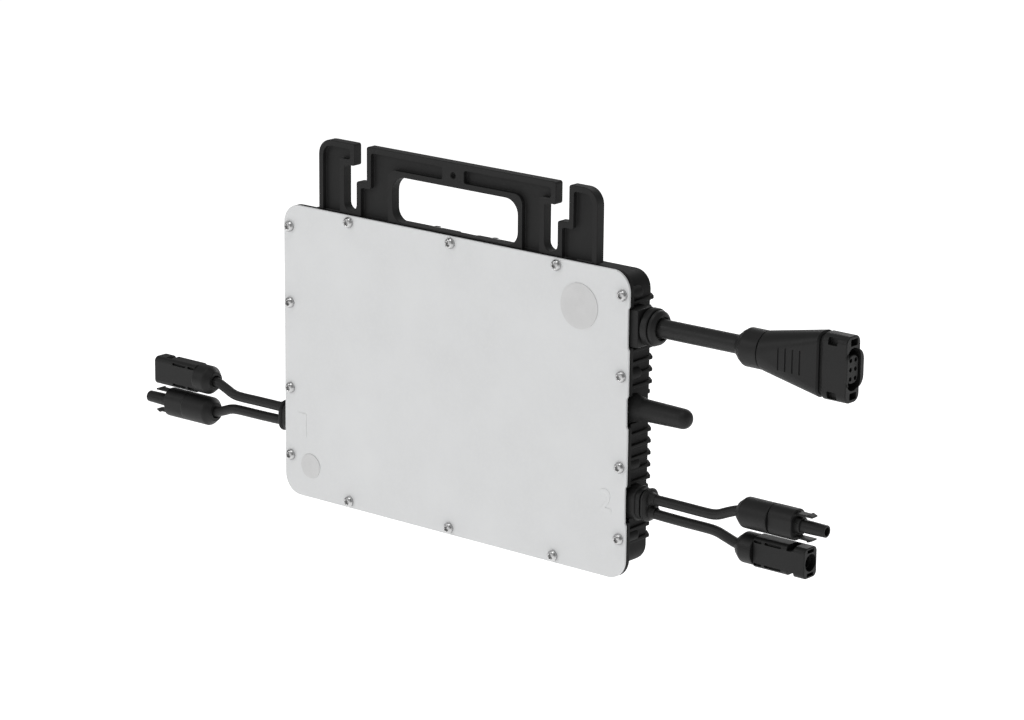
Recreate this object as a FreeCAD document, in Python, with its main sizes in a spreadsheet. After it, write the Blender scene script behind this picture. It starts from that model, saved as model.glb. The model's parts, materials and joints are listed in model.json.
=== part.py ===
import FreeCAD, Part
import math
import os
import Sketcher

# A compact two-input solar micro-inverter, in millimetres.
#
# X runs along the front cover, towards the side that carries the grid cable and the antenna.
# Y runs from the front cover back to the cooling fins.  Z is up.
# Sizes below are stated from the front cover: X from its middle, Y from its front face and
# Z from its lower edge.  place() then shifts each sub-part so that the origin is the middle
# hole of the bracket where it leaves the bracket's rear face, which bears on the rail.

DIMENSIONS = {
    # the datum, measured from the front face and the lower edge of the cover
    "datum_depth": 8.4,
    "datum_rise": 215.3,
    # front cover and its gasket
    "cover_width": 261.0,
    "cover_height": 180.0,
    "cover_sheet": 1.5,
    "cover_corner": 12.0,
    "notch_depth": 0.9,
    "gasket_sheet": 0.5,
    "gasket_margin": 1.0,
    "gasket_band": 8.0,
    "fill_port_x": 95.1,
    "fill_port_z": 154.9,
    "fill_port_radius": 9.0,
    "fill_seal_radius": 13.3,
    "vent_port_x": -109.8,
    "vent_port_z": 20.0,
    "vent_port_radius": 4.5,
    "vent_seal_radius": 7.6,
    "port_seal_sheet": 0.4,
    # cover screws
    "screw_side_x": 125.8,
    "screw_row_x": 78.5,
    "screw_edge_z": 4.2,
    "screw_hole_radius": 2.2,
    "screw_head_radius": 3.25,
    "screw_head_rise": 2.6,
    "screw_shank_radius": 1.85,
    "screw_shank_reach": 11.0,
    "tapped_radius": 1.95,
    "boss_radius": 3.7,
    "boss_back": 14.5,
    # housing casting
    "flange_front": 2.0,
    "flange_back": 4.4,
    "wall_inset": 5.0,
    "wall_skin": 1.4,
    "wall_corner": 9.0,
    "wall_sheet": 3.0,
    "wall_back": 25.6,
    "cavity_corner": 6.0,
    "fin_first": 21.0,
    "fin_pitch": 7.0,
    "fin_count": 21.0,
    "fin_sheet": 2.0,
    "fin_side_reach": 3.0,
    "fin_side_back": 25.2,
    "fin_bevel_x": 123.5,
    "fin_bevel_back": 29.6,
    "fin_crest_x": 98.0,
    "fin_crest_back": 32.6,
    # mounting bracket
    "web_front": 2.0,
    "web_sheet": 6.4,
    "web_gap": 0.1,
    "web_left": -104.0,
    "web_right": 105.5,
    "web_top": 222.8,
    "web_corner": 9.5,
    "web_small_corner": 1.5,
    "slot_left_x": -79.05,
    "slot_pitch": 151.4,
    "slot_width": 9.4,
    "slot_shift": 8.0,
    "seat_z": 187.0,
    "jog_floor": 201.0,
    "jog_roof": 209.6,
    "grip_left": -46.2,
    "grip_right": 48.0,
    "grip_floor": 181.2,
    "grip_roof": 208.2,
    "grip_top_corner": 9.0,
    "grip_low_corner": 8.0,
    "rim": 3.4,
    "pocket_depth": 3.0,
    "pocket_corner": 1.6,
    "pad_half": 8.0,
    "tie_radius": 1.9,
    "foot_inner": 5.6,
    "foot_outer": 72.8,
    "foot_low": 175.1,
    "foot_high": 178.6,
    "foot_back": 18.0,
    "foot_relief": 0.4,
    "foot_screw_inner": 22.0,
    "foot_screw_outer": 58.0,
    "foot_screw_y": 13.6,
    # grid cable gland
    "ac_y": 13.5,
    "ac_z": 147.6,
    "ac_block_half": 11.0,
    "ac_block_bevel": 8.5,
    "ac_block_reach": 9.2,
    "ac_neck_radius": 8.0,
    "ac_ring_radius": 10.9,
    "ac_cable_radius": 5.4,
    # PV lead glands
    "dc_y": 11.0,
    "dc_z": 44.6,
    "dc_half_y": 8.0,
    "dc_half_z": 9.9,
    "dc_corner": 6.5,
    "dc_lead_rise": 3.85,
    "dc_lead_radius": 3.0,
    "dc_neck_half_y": 5.3,
    "dc_neck_half_z": 7.7,
    "dc_neck_corner": 4.0,
    # antenna
    "antenna_y": 12.0,
    "antenna_z": 99.0,
    "antenna_root_radius": 8.5,
    "antenna_radius": 6.4,
    "antenna_tip_radius": 5.7,
    "antenna_reach": 40.4,
    "antenna_core_radius": 1.2,
    # grid plug
    "plug_start": 194.5,
    "plug_z": 148.0,
    "plug_nut_radius": 11.0,
    "plug_head_y": 12.0,
    "plug_head_half_y": 6.6,
    "plug_head_half_z": 18.6,
    "plug_bulge_y": 13.3,
    "plug_bulge_half_y": 8.0,
    "plug_bulge_half_z": 11.0,
    "throat_y": 12.3,
    "throat_half_y": 5.8,
    "throat_half_z": 12.0,
    "contact_radius": 1.1,
    "contact_pitch_y": 4.6,
    "contact_pitch_z": 5.1,
    # PV connectors: distances along each connector from its cable end
    "plug_right_x": 199.9,
    "plug_left_x": 196.5,
    "right_male_z": 54.6,
    "right_female_z": 34.6,
    "left_male_z": 34.2,
    "left_female_z": 54.2,
    "shell_radius": 8.9,
    "shell_tail": 2.6,
    "shell_cone": 6.8,
    "shell_half_y": 7.2,
    "male_nut_end": 24.8,
    "female_nut_end": 15.0,
    "thread_radius": 5.7,
    "sleeve_end": 41.2,
    "collar_radius": 4.8,
    "collar_end": 44.6,
    "nose_radius": 3.75,
    "nose_end": 60.2,
    "nose_bore_radius": 2.4,
    "pin_radius": 1.9,
    "female_end": 50.0,
    "female_half_y": 6.1,
    "female_half_z": 8.8,
    "socket_bore_radius": 4.0,
    "socket_bore_depth": 19.6,
    "mouth_radius": 5.0,
    "mouth_depth": 3.7,
    "channel_low": 5.7,
    "channel_high": 7.7,
    "channel_half_width": 3.1,
    "channel_depth": 12.0,
    "window_length": 4.8,
    # latch arms of the male PV connectors
    "latch_root": 41.6,
    "latch_reach": 10.4,
    "latch_rise": 6.7,
    "latch_half_sheet": 0.6,
    "latch_half_width": 2.6,
    "latch_barb": 0.8,
    # circuit board and what stands on it
    "board_front": 14.4,
    "board_sheet": 1.6,
    "board_half_x": 112.0,
    "board_low": 16.0,
    "board_high": 164.0,
}

NODES = []

doc = FreeCAD.newDocument("micro_inverter")
sheet = doc.addObject("Spreadsheet::Sheet", "dims")


def fill_sheet():
    """Write the driving dimensions into the spreadsheet, one named cell each."""
    for row, (alias, value) in enumerate(DIMENSIONS.items(), start=1):
        sheet.set("A%d" % row, alias)
        sheet.set("B%d" % row, str(value))
        sheet.setAlias("B%d" % row, alias)
    doc.recompute()


def bound(expression):
    """A formula in which $name stands for the spreadsheet's cell of that name."""
    return str(expression).replace("$", "dims.")


def size(expression):
    """The value of a formula now."""
    return float(sheet.evalExpression(bound(expression)))


def place(item, x, y, z, turn=0.0, axis=(0, 0, 1), prefix="Placement"):
    """Put an object at cover coordinates, turned about an axis, and bind the place to the sheet."""
    rotation = FreeCAD.Rotation(FreeCAD.Vector(*axis), turn)
    setattr(item, prefix, FreeCAD.Placement(FreeCAD.Vector(), rotation))
    item.setExpression(prefix + ".Base.x", bound(x))
    item.setExpression(prefix + ".Base.y", bound("%s - $datum_depth" % y))
    item.setExpression(prefix + ".Base.z", bound("%s - $datum_rise" % z))


def node(item, label):
    """Mark an object as a finished sub-part."""
    item.Label = label
    NODES.append(item)
    return item


# ---------------------------------------------------------------- sketches and features

def pinned(sketch, geometry, point, x, z, constraints):
    """Hold one sketch point at the formulas x and z."""
    for kind, formula in (("DistanceX", x), ("DistanceY", z)):
        rule = Sketcher.Constraint(kind, -1, 1, geometry, point, size(formula))
        constraints.append((rule, formula))


def apply_constraints(sketch, constraints):
    """Add the constraints together, then bind those that have a formula."""
    indexes = sketch.addConstraint([rule for rule, _ in constraints])
    for index, (_, formula) in zip(indexes, constraints):
        if formula is not None:
            sketch.setExpression("Constraints[%d]" % index, bound(formula))


def corner_ends(points, index, radius):
    """Where a rounded corner's arc starts, ends and has its centre."""
    here = points[index]
    back = (points[index - 1] - here).normalize()
    ahead = (points[(index + 1) % len(points)] - here).normalize()
    half_angle = back.getAngle(ahead) / 2
    reach = radius / math.tan(half_angle)
    centre = here + (back + ahead).normalize() * (radius / math.sin(half_angle))
    turns_left = (here - points[index - 1]).cross(ahead).z > 0
    return here + back * reach, here + ahead * reach, centre, turns_left


def corner_arc(sketch, ends, radius):
    """Add a corner's arc; return it with its arriving and leaving point numbers."""
    arrive, leave, centre, turns_left = ends
    first, last = (arrive, leave) if turns_left else (leave, arrive)
    angles = [math.atan2(p.y - centre.y, p.x - centre.x) for p in (first, last)]
    circle = Part.Circle(centre, FreeCAD.Vector(0, 0, 1), radius)
    arc = sketch.addGeometry(Part.ArcOfCircle(circle, angles[0], angles[1]))
    return (arc, 1, 2) if turns_left else (arc, 2, 1)


def outline(sketch, corners):
    """Draw a closed outline; a corner (x, z, r) is rounded by r, a corner (x, z) is sharp."""
    points = [FreeCAD.Vector(size(c[0]), size(c[1]), 0) for c in corners]
    count = len(corners)
    ends = []
    for index, corner in enumerate(corners):
        if len(corner) == 3:
            ends.append(corner_ends(points, index, size(corner[2])))
        else:
            ends.append((points[index], points[index], None, None))
    lines = []
    for index in range(count):
        segment = Part.LineSegment(ends[index][1], ends[(index + 1) % count][0])
        lines.append(sketch.addGeometry(segment))
    constraints = []
    for index, corner in enumerate(corners):
        before, after = lines[index - 1], lines[index]
        if len(corner) == 2:
            constraints.append((Sketcher.Constraint("Coincident", before, 2, after, 1), None))
            pinned(sketch, after, 1, corner[0], corner[1], constraints)
            continue
        vertex = sketch.addGeometry(Part.Point(points[index]), True)
        pinned(sketch, vertex, 1, corner[0], corner[1], constraints)
        for line in (before, after):
            constraints.append((Sketcher.Constraint("PointOnObject", vertex, 1, line), None))
        arc, arriving, leaving = corner_arc(sketch, ends[index], size(corner[2]))
        constraints.append((Sketcher.Constraint("Tangent", before, 2, arc, arriving), None))
        constraints.append((Sketcher.Constraint("Tangent", arc, leaving, after, 1), None))
        constraints.append((Sketcher.Constraint("Radius", arc, size(corner[2])), corner[2]))
    apply_constraints(sketch, constraints)


def rings(sketch, circles):
    """Draw circles (x, z, r)."""
    constraints = []
    for x, z, radius in circles:
        centre = FreeCAD.Vector(size(x), size(z), 0)
        circle = Part.Circle(centre, FreeCAD.Vector(0, 0, 1), size(radius))
        geometry = sketch.addGeometry(circle)
        pinned(sketch, geometry, 3, x, z, constraints)
        constraints.append((Sketcher.Constraint("Radius", geometry, size(radius)), radius))
    apply_constraints(sketch, constraints)


def new_sketch(body, plane, at, outlines=(), circles=()):
    """A sketch on one of the body's origin planes, moved along that plane's axis to 'at'."""
    support = [f for f in body.Origin.OriginFeatures if f.Role == plane][0]
    sketch = body.newObject("Sketcher::SketchObject", body.Name + "_sketch")
    sketch.AttachmentSupport = [(support, "")]
    sketch.MapMode = "FlatFace"
    sign = "-" if plane == "XZ_Plane" else ""
    sketch.setExpression("AttachmentOffset.Base.z", bound("%s(%s)" % (sign, at)))
    for corners in outlines:
        outline(sketch, corners)
    if circles:
        rings(sketch, circles)
    return sketch


def pad(body, plane, at, length, outlines=(), circles=()):
    """Add material from 'at' along the plane's positive axis."""
    sketch = new_sketch(body, plane, at, outlines, circles)
    feature = body.newObject("PartDesign::Pad", body.Name + "_pad")
    feature.Profile = sketch
    feature.Reversed = plane == "XZ_Plane"
    feature.setExpression("Length", bound(length))
    doc.recompute()
    return feature


def cut(body, plane, at, length, outlines=(), circles=()):
    """Remove material from 'at' along the plane's positive axis, and insist that it does."""
    before = body.Shape.Volume
    sketch = new_sketch(body, plane, at, outlines, circles)
    feature = body.newObject("PartDesign::Pocket", body.Name + "_cut")
    feature.Profile = sketch
    feature.Reversed = plane != "XZ_Plane"
    feature.setExpression("Length", bound(length))
    doc.recompute()
    assert body.Shape.Volume < before, body.Name + ": a cut removed nothing"
    return feature


def turn(body, profile):
    """Revolve a profile of (distance along X, radius) corners about the body's X axis."""
    sketch = new_sketch(body, "XY_Plane", "0", [profile])
    feature = body.newObject("PartDesign::Revolution", body.Name + "_turn")
    feature.Profile = sketch
    feature.ReferenceAxis = (sketch, ["H_Axis"])
    feature.Angle = 360
    doc.recompute()
    return feature


def new_body(name):
    return doc.addObject("PartDesign::Body", name)


def turned_body(name, profile):
    body = new_body(name)
    turn(body, profile)
    return body


def box_corners(x_low, x_high, z_low, z_high, radius=None):
    """The four corners of a rectangle, counter-clockwise, rounded if a radius is given."""
    corners = [(x_low, z_low), (x_high, z_low), (x_high, z_high), (x_low, z_high)]
    if radius is None:
        return corners
    return [corner + (radius,) for corner in corners]


def centred(x, z, half_x, half_z, radius=None):
    """A rectangle about a centre."""
    return box_corners("%s - %s" % (x, half_x), "%s + %s" % (x, half_x),
                       "%s - %s" % (z, half_z), "%s + %s" % (z, half_z), radius)


def tube(inner, outer, start, end):
    """The profile of a plain sleeve."""
    return [(start, inner), (end, inner), (end, outer), (start, outer)]


def block(name, x_low, x_high, y_low, y_high, z_low, z_high):
    """A plain box between stated faces."""
    item = doc.addObject("Part::Box", name)
    item.setExpression("Length", bound("%s - (%s)" % (x_high, x_low)))
    item.setExpression("Width", bound("%s - (%s)" % (y_high, y_low)))
    item.setExpression("Height", bound("%s - (%s)" % (z_high, z_low)))
    place(item, x_low, y_low, z_low)
    return item


def sized_box(name, length, width, height):
    """A box to be repeated, centred in X and Z and standing on Y = 0."""
    body = new_body(name)
    pad(body, "XZ_Plane", "0", width, [centred("0", "0", "%s / 2" % length, "%s / 2" % height)])
    return body


def repeated(label, source, places, turn_by=0.0, axis=(0, 0, 1)):
    """One node made of copies of a source at (x, y, z) places."""
    links = []
    for index, (x, y, z) in enumerate(places):
        link = doc.addObject("App::Link", "%s_%d" % (label, index + 1))
        link.LinkedObject = source
        place(link, x, y, z, turn_by, axis, "LinkPlacement")
        links.append(link)
    compound = doc.addObject("Part::Compound", label)
    compound.Links = links
    return node(compound, label)


# ---------------------------------------------------------------- cover, gasket and screws

def screw_places():
    """The fourteen cover screws: two columns of four, and two rows of three."""
    places = []
    for x in ("-$screw_side_x", "$screw_side_x"):
        for z in ("24.2", "66.4", "119.4", "166.2"):
            places.append((x, z))
    for z in ("$screw_edge_z", "$cover_height - $screw_edge_z"):
        for x in ("-$screw_row_x", "0", "$screw_row_x"):
            places.append((x, z))
    return places


def cover_outline(margin, corner):
    """The cover's rectangle, drawn in by a margin."""
    return box_corners("-$cover_width / 2 + %s" % margin, "$cover_width / 2 - %s" % margin,
                       margin, "$cover_height - %s" % margin, corner)


def front_cover():
    body = new_body("front_cover")
    pad(body, "XZ_Plane", "0", "$cover_sheet", [cover_outline("0", "$cover_corner")])
    holes = [(x, z, "$screw_hole_radius") for x, z in screw_places()]
    holes.append(("$fill_port_x", "$fill_port_z", "$fill_port_radius"))
    holes.append(("$vent_port_x", "$vent_port_z", "$vent_port_radius"))
    cut(body, "XZ_Plane", "0", "$cover_sheet", circles=holes)
    edge = "$cover_width / 2"
    notches = []
    for centre, half in (("$ac_z", "$ac_block_half + 0.5"), ("$dc_z", "$dc_half_z + 0.8"),
                         ("$antenna_z", "8.5")):
        notches.append(box_corners(edge + " - $notch_depth", edge + " + 1",
                                   "%s - (%s)" % (centre, half), "%s + (%s)" % (centre, half)))
    cut(body, "XZ_Plane", "0", "$cover_sheet", notches)
    place(node(body, "front_cover"), "0", "0", "0")


def cover_gasket():
    body = new_body("cover_gasket")
    inner = cover_outline("$gasket_band", "$cavity_corner")
    outer = cover_outline("$gasket_margin", "$cover_corner - $gasket_margin")
    pad(body, "XZ_Plane", "$cover_sheet", "$gasket_sheet", [outer, inner])
    holes = [(x, z, "$screw_hole_radius") for x, z in screw_places()]
    cut(body, "XZ_Plane", "$cover_sheet", "$gasket_sheet", circles=holes)
    place(node(body, "cover_gasket"), "0", "0", "0")


def cover_screws():
    """Pan-head screws with a hexagonal drive, turned about their own axis."""
    source = turned_body("cover_screw", [
        ("-$screw_head_rise", "0"), ("$screw_shank_reach", "0"),
        ("$screw_shank_reach", "$screw_shank_radius"), ("0", "$screw_shank_radius"),
        ("0", "$screw_head_radius"), ("-$screw_head_rise", "$screw_head_radius", "1.3")])
    hexagon = [("1.35 * cos(%d)" % angle, "1.35 * sin(%d)" % angle) for angle in range(0, 360, 60)]
    cut(source, "YZ_Plane", "-$screw_head_rise", "1.5", [hexagon])
    places = [(x, "0", z) for x, z in screw_places()]
    repeated("cover_screws", source, places, 90)


def port_seals():
    """Adhesive discs over the two potting ports of the cover."""
    for label, x, z, radius in (
            ("fill_port_seal", "$fill_port_x", "$fill_port_z", "$fill_seal_radius"),
            ("vent_port_seal", "$vent_port_x", "$vent_port_z", "$vent_seal_radius")):
        body = new_body(label)
        pad(body, "XZ_Plane", "-$port_seal_sheet", "$port_seal_sheet", circles=[(x, z, radius)])
        place(node(body, label), "0", "0", "0")


# ---------------------------------------------------------------- housing and bracket

def wall_outline(inset, corner):
    """The casing's rectangle, drawn in from the cover's outline."""
    return cover_outline(inset, corner)


def casing_outline():
    """The box behind the flange, nearer the flange's edge at the sides and top than below."""
    side = "($cover_width / 2 - $wall_inset + $wall_skin)"
    return box_corners("-" + side, side, "$wall_inset",
                       "$cover_height - $wall_inset + $wall_skin", "$wall_corner + $wall_skin")


def foot_seat():
    """The flat that is machined into the top wall for the bracket's feet."""
    floor = "$cover_height - $wall_inset"
    return box_corners("-$foot_outer - 0.8", "$foot_outer + 0.8", floor, floor + " + 10")


def rib_gaps():
    """Stretches of the two side walls that glands and the antenna need free of ribs."""
    side = "$cover_width / 2 - $wall_inset + $wall_skin"
    gaps = []
    for centre, half in (("$ac_z", "14"), ("$antenna_z", "10.5"), ("$dc_z", "11.3")):
        gaps.append(box_corners(side, side + " + 20", "%s - %s" % (centre, half),
                                "%s + %s" % (centre, half)))
    gaps.append(box_corners("-(%s) - 20" % side, "-(%s)" % side, "$dc_z - 11.3", "$dc_z + 11.3"))
    return gaps


def gland_bays():
    """Bays in the flange and the side walls where the glands and the antenna stand."""
    side, edge = "$cover_width / 2 - $wall_inset", "$cover_width / 2 + 1"
    notches = []
    for centre, half in (("$ac_z", "($ac_block_half + 0.4)"), ("$dc_z", "($dc_half_z + 0.4)"),
                         ("$antenna_z", "($antenna_root_radius + 0.4)")):
        notches.append(box_corners(side, edge, "%s - %s" % (centre, half),
                                   "%s + %s" % (centre, half)))
    notches.append(box_corners("-(%s)" % edge, "-(%s)" % side, "$dc_z - $dc_half_z - 0.4",
                               "$dc_z + $dc_half_z + 0.4"))
    return notches


def fin_profile():
    """A fin seen from above: ribs along both side walls and a raised crest across the back."""
    side = "$cover_width / 2 - $wall_inset + $fin_side_reach"
    return [("-(%s)" % side, "$flange_back - 0.4"), (side, "$flange_back - 0.4"),
            (side, "$fin_side_back"), ("$fin_bevel_x", "$fin_bevel_back"),
            ("$fin_crest_x", "$fin_crest_back"), ("-$fin_crest_x", "$fin_crest_back"),
            ("-$fin_bevel_x", "$fin_bevel_back"), ("-(%s)" % side, "$fin_side_back")]


def finned_block(body):
    """Flange, box and fins, before the inside is cut out."""
    pad(body, "XZ_Plane", "$flange_front", "$flange_back - $flange_front",
        [cover_outline("0", "$cover_corner")])
    pad(body, "XZ_Plane", "$flange_back - 0.2", "$wall_back - $flange_back + 0.2",
        [casing_outline()])
    fin = pad(body, "XY_Plane", "$fin_first - $fin_sheet / 2", "$fin_sheet", [fin_profile()])
    pattern = body.newObject("PartDesign::LinearPattern", "fin_pattern")
    pattern.Originals = [fin]
    upright = [f for f in body.Origin.OriginFeatures if f.Role == "Z_Axis"][0]
    pattern.Direction = (upright, [""])
    pattern.setExpression("Length", bound("$fin_pitch * ($fin_count - 1)"))
    pattern.Occurrences = int(size("$fin_count"))
    body.Tip = pattern
    doc.recompute()
    cut(body, "XZ_Plane", "$flange_back", "40", rib_gaps() + [foot_seat()])


def housing():
    body = new_body("housing")
    finned_block(body)
    cavity_inset = "($wall_inset + $wall_sheet)"
    cut(body, "XZ_Plane", "$flange_front", "$wall_back - $wall_sheet - $flange_front",
        [wall_outline(cavity_inset, "$cavity_corner")])
    bosses = [(x, z, "$boss_radius") for x, z in screw_places()]
    pad(body, "XZ_Plane", "$flange_front + 0.2", "$boss_back - $flange_front", circles=bosses)
    holes = [(x, z, "$tapped_radius") for x, z in screw_places()]
    cut(body, "XZ_Plane", "$flange_front", "$screw_shank_reach - $flange_front + 1",
        circles=holes)
    inner_face = "$cover_width / 2 - $wall_inset - $wall_sheet - 1"
    through = "$wall_sheet + 2"
    neck = centred("$dc_y", "$dc_z", "($dc_neck_half_y + 0.2)", "($dc_neck_half_z + 0.2)",
                   "$dc_neck_corner")
    cut(body, "YZ_Plane", inner_face, through, [neck],
        [("$ac_y", "$ac_z", "$ac_neck_radius + 0.2"),
         ("$antenna_y", "$antenna_z", "$antenna_core_radius + 0.3")])
    cut(body, "YZ_Plane", "-(%s) - (%s)" % (inner_face, through), through, [neck])
    cut(body, "XZ_Plane", "$flange_front", "40", gland_bays())
    cut(body, "XY_Plane", "$cover_height - $wall_inset - $wall_sheet - 0.5",
        "$wall_sheet + 1", circles=[(x, "$foot_screw_y", "$tapped_radius + 0.05")
                                    for x in foot_screw_xs()])
    place(node(body, "housing"), "0", "0", "0")


def web_outline():
    """The bracket from the front: two hook lobes, two stepped slots and the middle beam."""
    half = "$slot_width / 2"
    corners = [("$web_left", "$cover_height + $web_gap"),
               ("$web_right", "$cover_height + $web_gap"),
               ("$web_right", "$web_top", "$web_corner")]
    for seat in ("$slot_left_x + $slot_pitch", "$slot_left_x"):
        entry = "%s + $slot_shift" % seat
        low = "$seat_z - %s" % half
        corners += [("%s + %s" % (entry, half), "$web_top", "$web_small_corner"),
                    ("%s + %s" % (entry, half), "$jog_floor", "$web_small_corner"),
                    ("%s + %s" % (seat, half), "$jog_floor", "$web_small_corner"),
                    ("%s + %s" % (seat, half), low, "%s - 0.02" % half),
                    ("%s - %s" % (seat, half), low, "%s - 0.02" % half),
                    ("%s - %s" % (seat, half), "$jog_roof", "$web_small_corner"),
                    ("%s - %s" % (entry, half), "$jog_roof", "$web_small_corner"),
                    ("%s - %s" % (entry, half), "$web_top", "$web_small_corner")]
    corners.append(("$web_left", "$web_top", "$web_corner"))
    return corners


def web_pockets():
    """The recesses in the bracket's front, one rim inside its outline."""
    rounding = "$pocket_corner"
    seat_left, seat_right = "$slot_left_x", "($slot_left_x + $slot_pitch)"
    edge = "($slot_width / 2 + $rim)"
    entry = "($slot_shift + $slot_width / 2 + $rim)"
    tip = "($slot_shift - $slot_width / 2 - $rim)"
    low, high = "$cover_height + $web_gap", "$web_top - $rim"
    under, over = "$jog_floor - $rim", "$jog_roof + $rim"
    beam = "$grip_roof + $rim"
    left_lobe = [("$web_left + $rim", low), ("%s - %s" % (seat_left, edge), low),
                 ("%s - %s" % (seat_left, edge), over, rounding),
                 ("%s + %s" % (seat_left, tip), over, rounding),
                 ("%s + %s" % (seat_left, tip), high, rounding),
                 ("$web_left + $rim", high, "$web_corner - $rim")]
    right_lobe = [("%s + %s" % (seat_right, edge), low), ("$web_right - $rim", low),
                  ("$web_right - $rim", high, "$web_corner - $rim"),
                  ("%s + %s" % (seat_right, entry), high, rounding),
                  ("%s + %s" % (seat_right, entry), under, rounding),
                  ("%s + %s" % (seat_right, edge), under, rounding)]
    left_beam = [("%s + %s" % (seat_left, edge), low), ("$grip_left - $rim", low),
                 ("$grip_left - $rim", beam, "6"), ("-$pad_half", beam, rounding),
                 ("-$pad_half", high, rounding),
                 ("%s + %s" % (seat_left, entry), high, rounding),
                 ("%s + %s" % (seat_left, entry), under, rounding),
                 ("%s + %s" % (seat_left, edge), under, rounding)]
    right_beam = [("$grip_right + $rim", low), ("%s - %s" % (seat_right, edge), low),
                  ("%s - %s" % (seat_right, edge), over, rounding),
                  ("%s + %s" % (seat_right, tip), over, rounding),
                  ("%s + %s" % (seat_right, tip), high, rounding),
                  ("$pad_half", high, rounding), ("$pad_half", beam, rounding),
                  ("$grip_right + $rim", beam, "6")]
    return [left_lobe, right_lobe, left_beam, right_beam]


def foot_screw_xs():
    """The four bracket screws from left to right."""
    return ("-$foot_screw_outer", "-$foot_screw_inner", "$foot_screw_inner", "$foot_screw_outer")


def mounting_bracket():
    body = new_body("mounting_bracket")
    pad(body, "XZ_Plane", "$web_front", "$web_sheet", [web_outline()])
    grip = [("$grip_left", "$grip_floor", "$grip_low_corner"),
            ("$grip_right", "$grip_floor", "$grip_low_corner"),
            ("$grip_right", "$grip_roof", "$grip_top_corner"),
            ("$grip_left", "$grip_roof", "$grip_top_corner")]
    cut(body, "XZ_Plane", "$web_front", "$web_sheet", [grip],
        [("0", "$datum_rise", "$tie_radius")])
    cut(body, "XZ_Plane", "$web_front", "$pocket_depth", web_pockets())
    sides = (("-$foot_outer", "-$foot_inner"), ("$foot_inner", "$foot_outer"))
    feet = [box_corners(low, high, "$foot_low", "$foot_high") for low, high in sides]
    roots = [box_corners(low, high, "$foot_low", "$cover_height + 1") for low, high in sides]
    rear = "($web_front + $web_sheet - $foot_relief)"
    pad(body, "XZ_Plane", "$flange_back + 0.2", rear + " - $flange_back - 0.2", roots)
    pad(body, "XZ_Plane", rear + " - 1", "$foot_back - %s + 1" % rear, feet)
    holes = [(x, "$foot_screw_y", "2.2") for x in foot_screw_xs()]
    cut(body, "XY_Plane", "$foot_low", "$foot_high - $foot_low", circles=holes)
    place(node(body, "mounting_bracket"), "0", "0", "0")


def bracket_screws():
    """Button-head screws down through the bracket's foot into the housing's top wall."""
    source = turned_body("bracket_screw", [
        ("-1.4", "0"), ("6.2", "0"), ("6.2", "1.9"), ("0", "1.9"), ("0", "3.4"),
        ("-1.4", "3.4", "1")])
    places = [(x, "$foot_screw_y", "$foot_high") for x in foot_screw_xs()]
    repeated("bracket_screws", source, places, 90, (0, 1, 0))


# ---------------------------------------------------------------- glands and antenna

SIDE_WALL = "$cover_width / 2 - $wall_inset"


def ac_gland():
    """Square flanged gland body, its compression nut and the rubber sleeve between them."""
    body = new_body("ac_gland_body")
    half, bevel = "$ac_block_half", "$ac_block_bevel"
    corners = [("-%s" % half, "-%s" % half, "1"),
               ("%s - %s" % (half, bevel), "-%s" % half, "2"),
               (half, "-%s + %s" % (half, bevel), "2"),
               (half, "%s - %s" % (half, bevel), "2"),
               ("%s - %s" % (half, bevel), half, "2"), ("-%s" % half, half, "1")]
    pad(body, "YZ_Plane", "0", "$ac_block_reach", [corners])
    turn(body, [("-8", "0"), ("15", "0"), ("15", "8.4"), ("14.5", "8.4"),
                ("14.5", "$ac_ring_radius", "0.8"), ("9.9", "$ac_ring_radius", "0.8"),
                ("9.9", "9.4"), ("0", "9.4"), ("0", "$ac_neck_radius"),
                ("-8", "$ac_neck_radius")])
    cut(body, "YZ_Plane", "-8", "16", circles=[("0", "0", "$ac_cable_radius + 0.15")])
    cut(body, "YZ_Plane", "8", "7", circles=[("0", "0", "7")])
    place(node(body, "ac_gland_body"), SIDE_WALL, "$ac_y", "$ac_z")
    nut = turned_body("ac_gland_nut", [
        ("15.3", "$ac_cable_radius + 0.6"), ("17", "$ac_cable_radius + 0.6"), ("17", "6.8"),
        ("18.6", "6.8"), ("18.6", "7.8", "0.3"), ("16.9", "9.7", "0.6"), ("15.3", "10.3", "0.3")])
    place(node(nut, "ac_gland_nut"), SIDE_WALL, "$ac_y", "$ac_z")
    seal = turned_body("ac_gland_seal", tube("$ac_cable_radius + 0.05", "6.9", "8.2", "15"))
    place(node(seal, "ac_gland_seal"), SIDE_WALL, "$ac_y", "$ac_z")


def lead_holes(radius):
    """The pair of lead bores of a PV gland."""
    return [("0", "-$dc_lead_rise", radius), ("0", "$dc_lead_rise", radius)]


def dc_gland(side, turn_by):
    """Stepped oblong gland moulding with one bore per lead."""
    body = new_body(side + "_dc_gland")
    steps = (("0", "8.4", "0"), ("8.4", "3", "0.9"), ("11.4", "4", "0.4"))
    for start, reach, inset in steps:
        pad(body, "YZ_Plane", start, reach,
            [centred("0", "0", "($dc_half_y - %s)" % inset, "($dc_half_z - %s)" % inset,
                     "$dc_corner - %s" % inset)])
    pad(body, "YZ_Plane", "-5", "5",
        [centred("0", "0", "$dc_neck_half_y", "$dc_neck_half_z", "$dc_neck_corner")])
    boots = lead_holes("$dc_lead_radius + 0.6")
    pad(body, "YZ_Plane", "15.4", "3.2", circles=boots)
    cut(body, "YZ_Plane", "-5", "25.2", circles=lead_holes("$dc_lead_radius + 0.2"))
    wall = SIDE_WALL if turn_by == 0 else "-(%s)" % SIDE_WALL
    place(node(body, body.Name), wall, "$dc_y", "$dc_z", turn_by)


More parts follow.
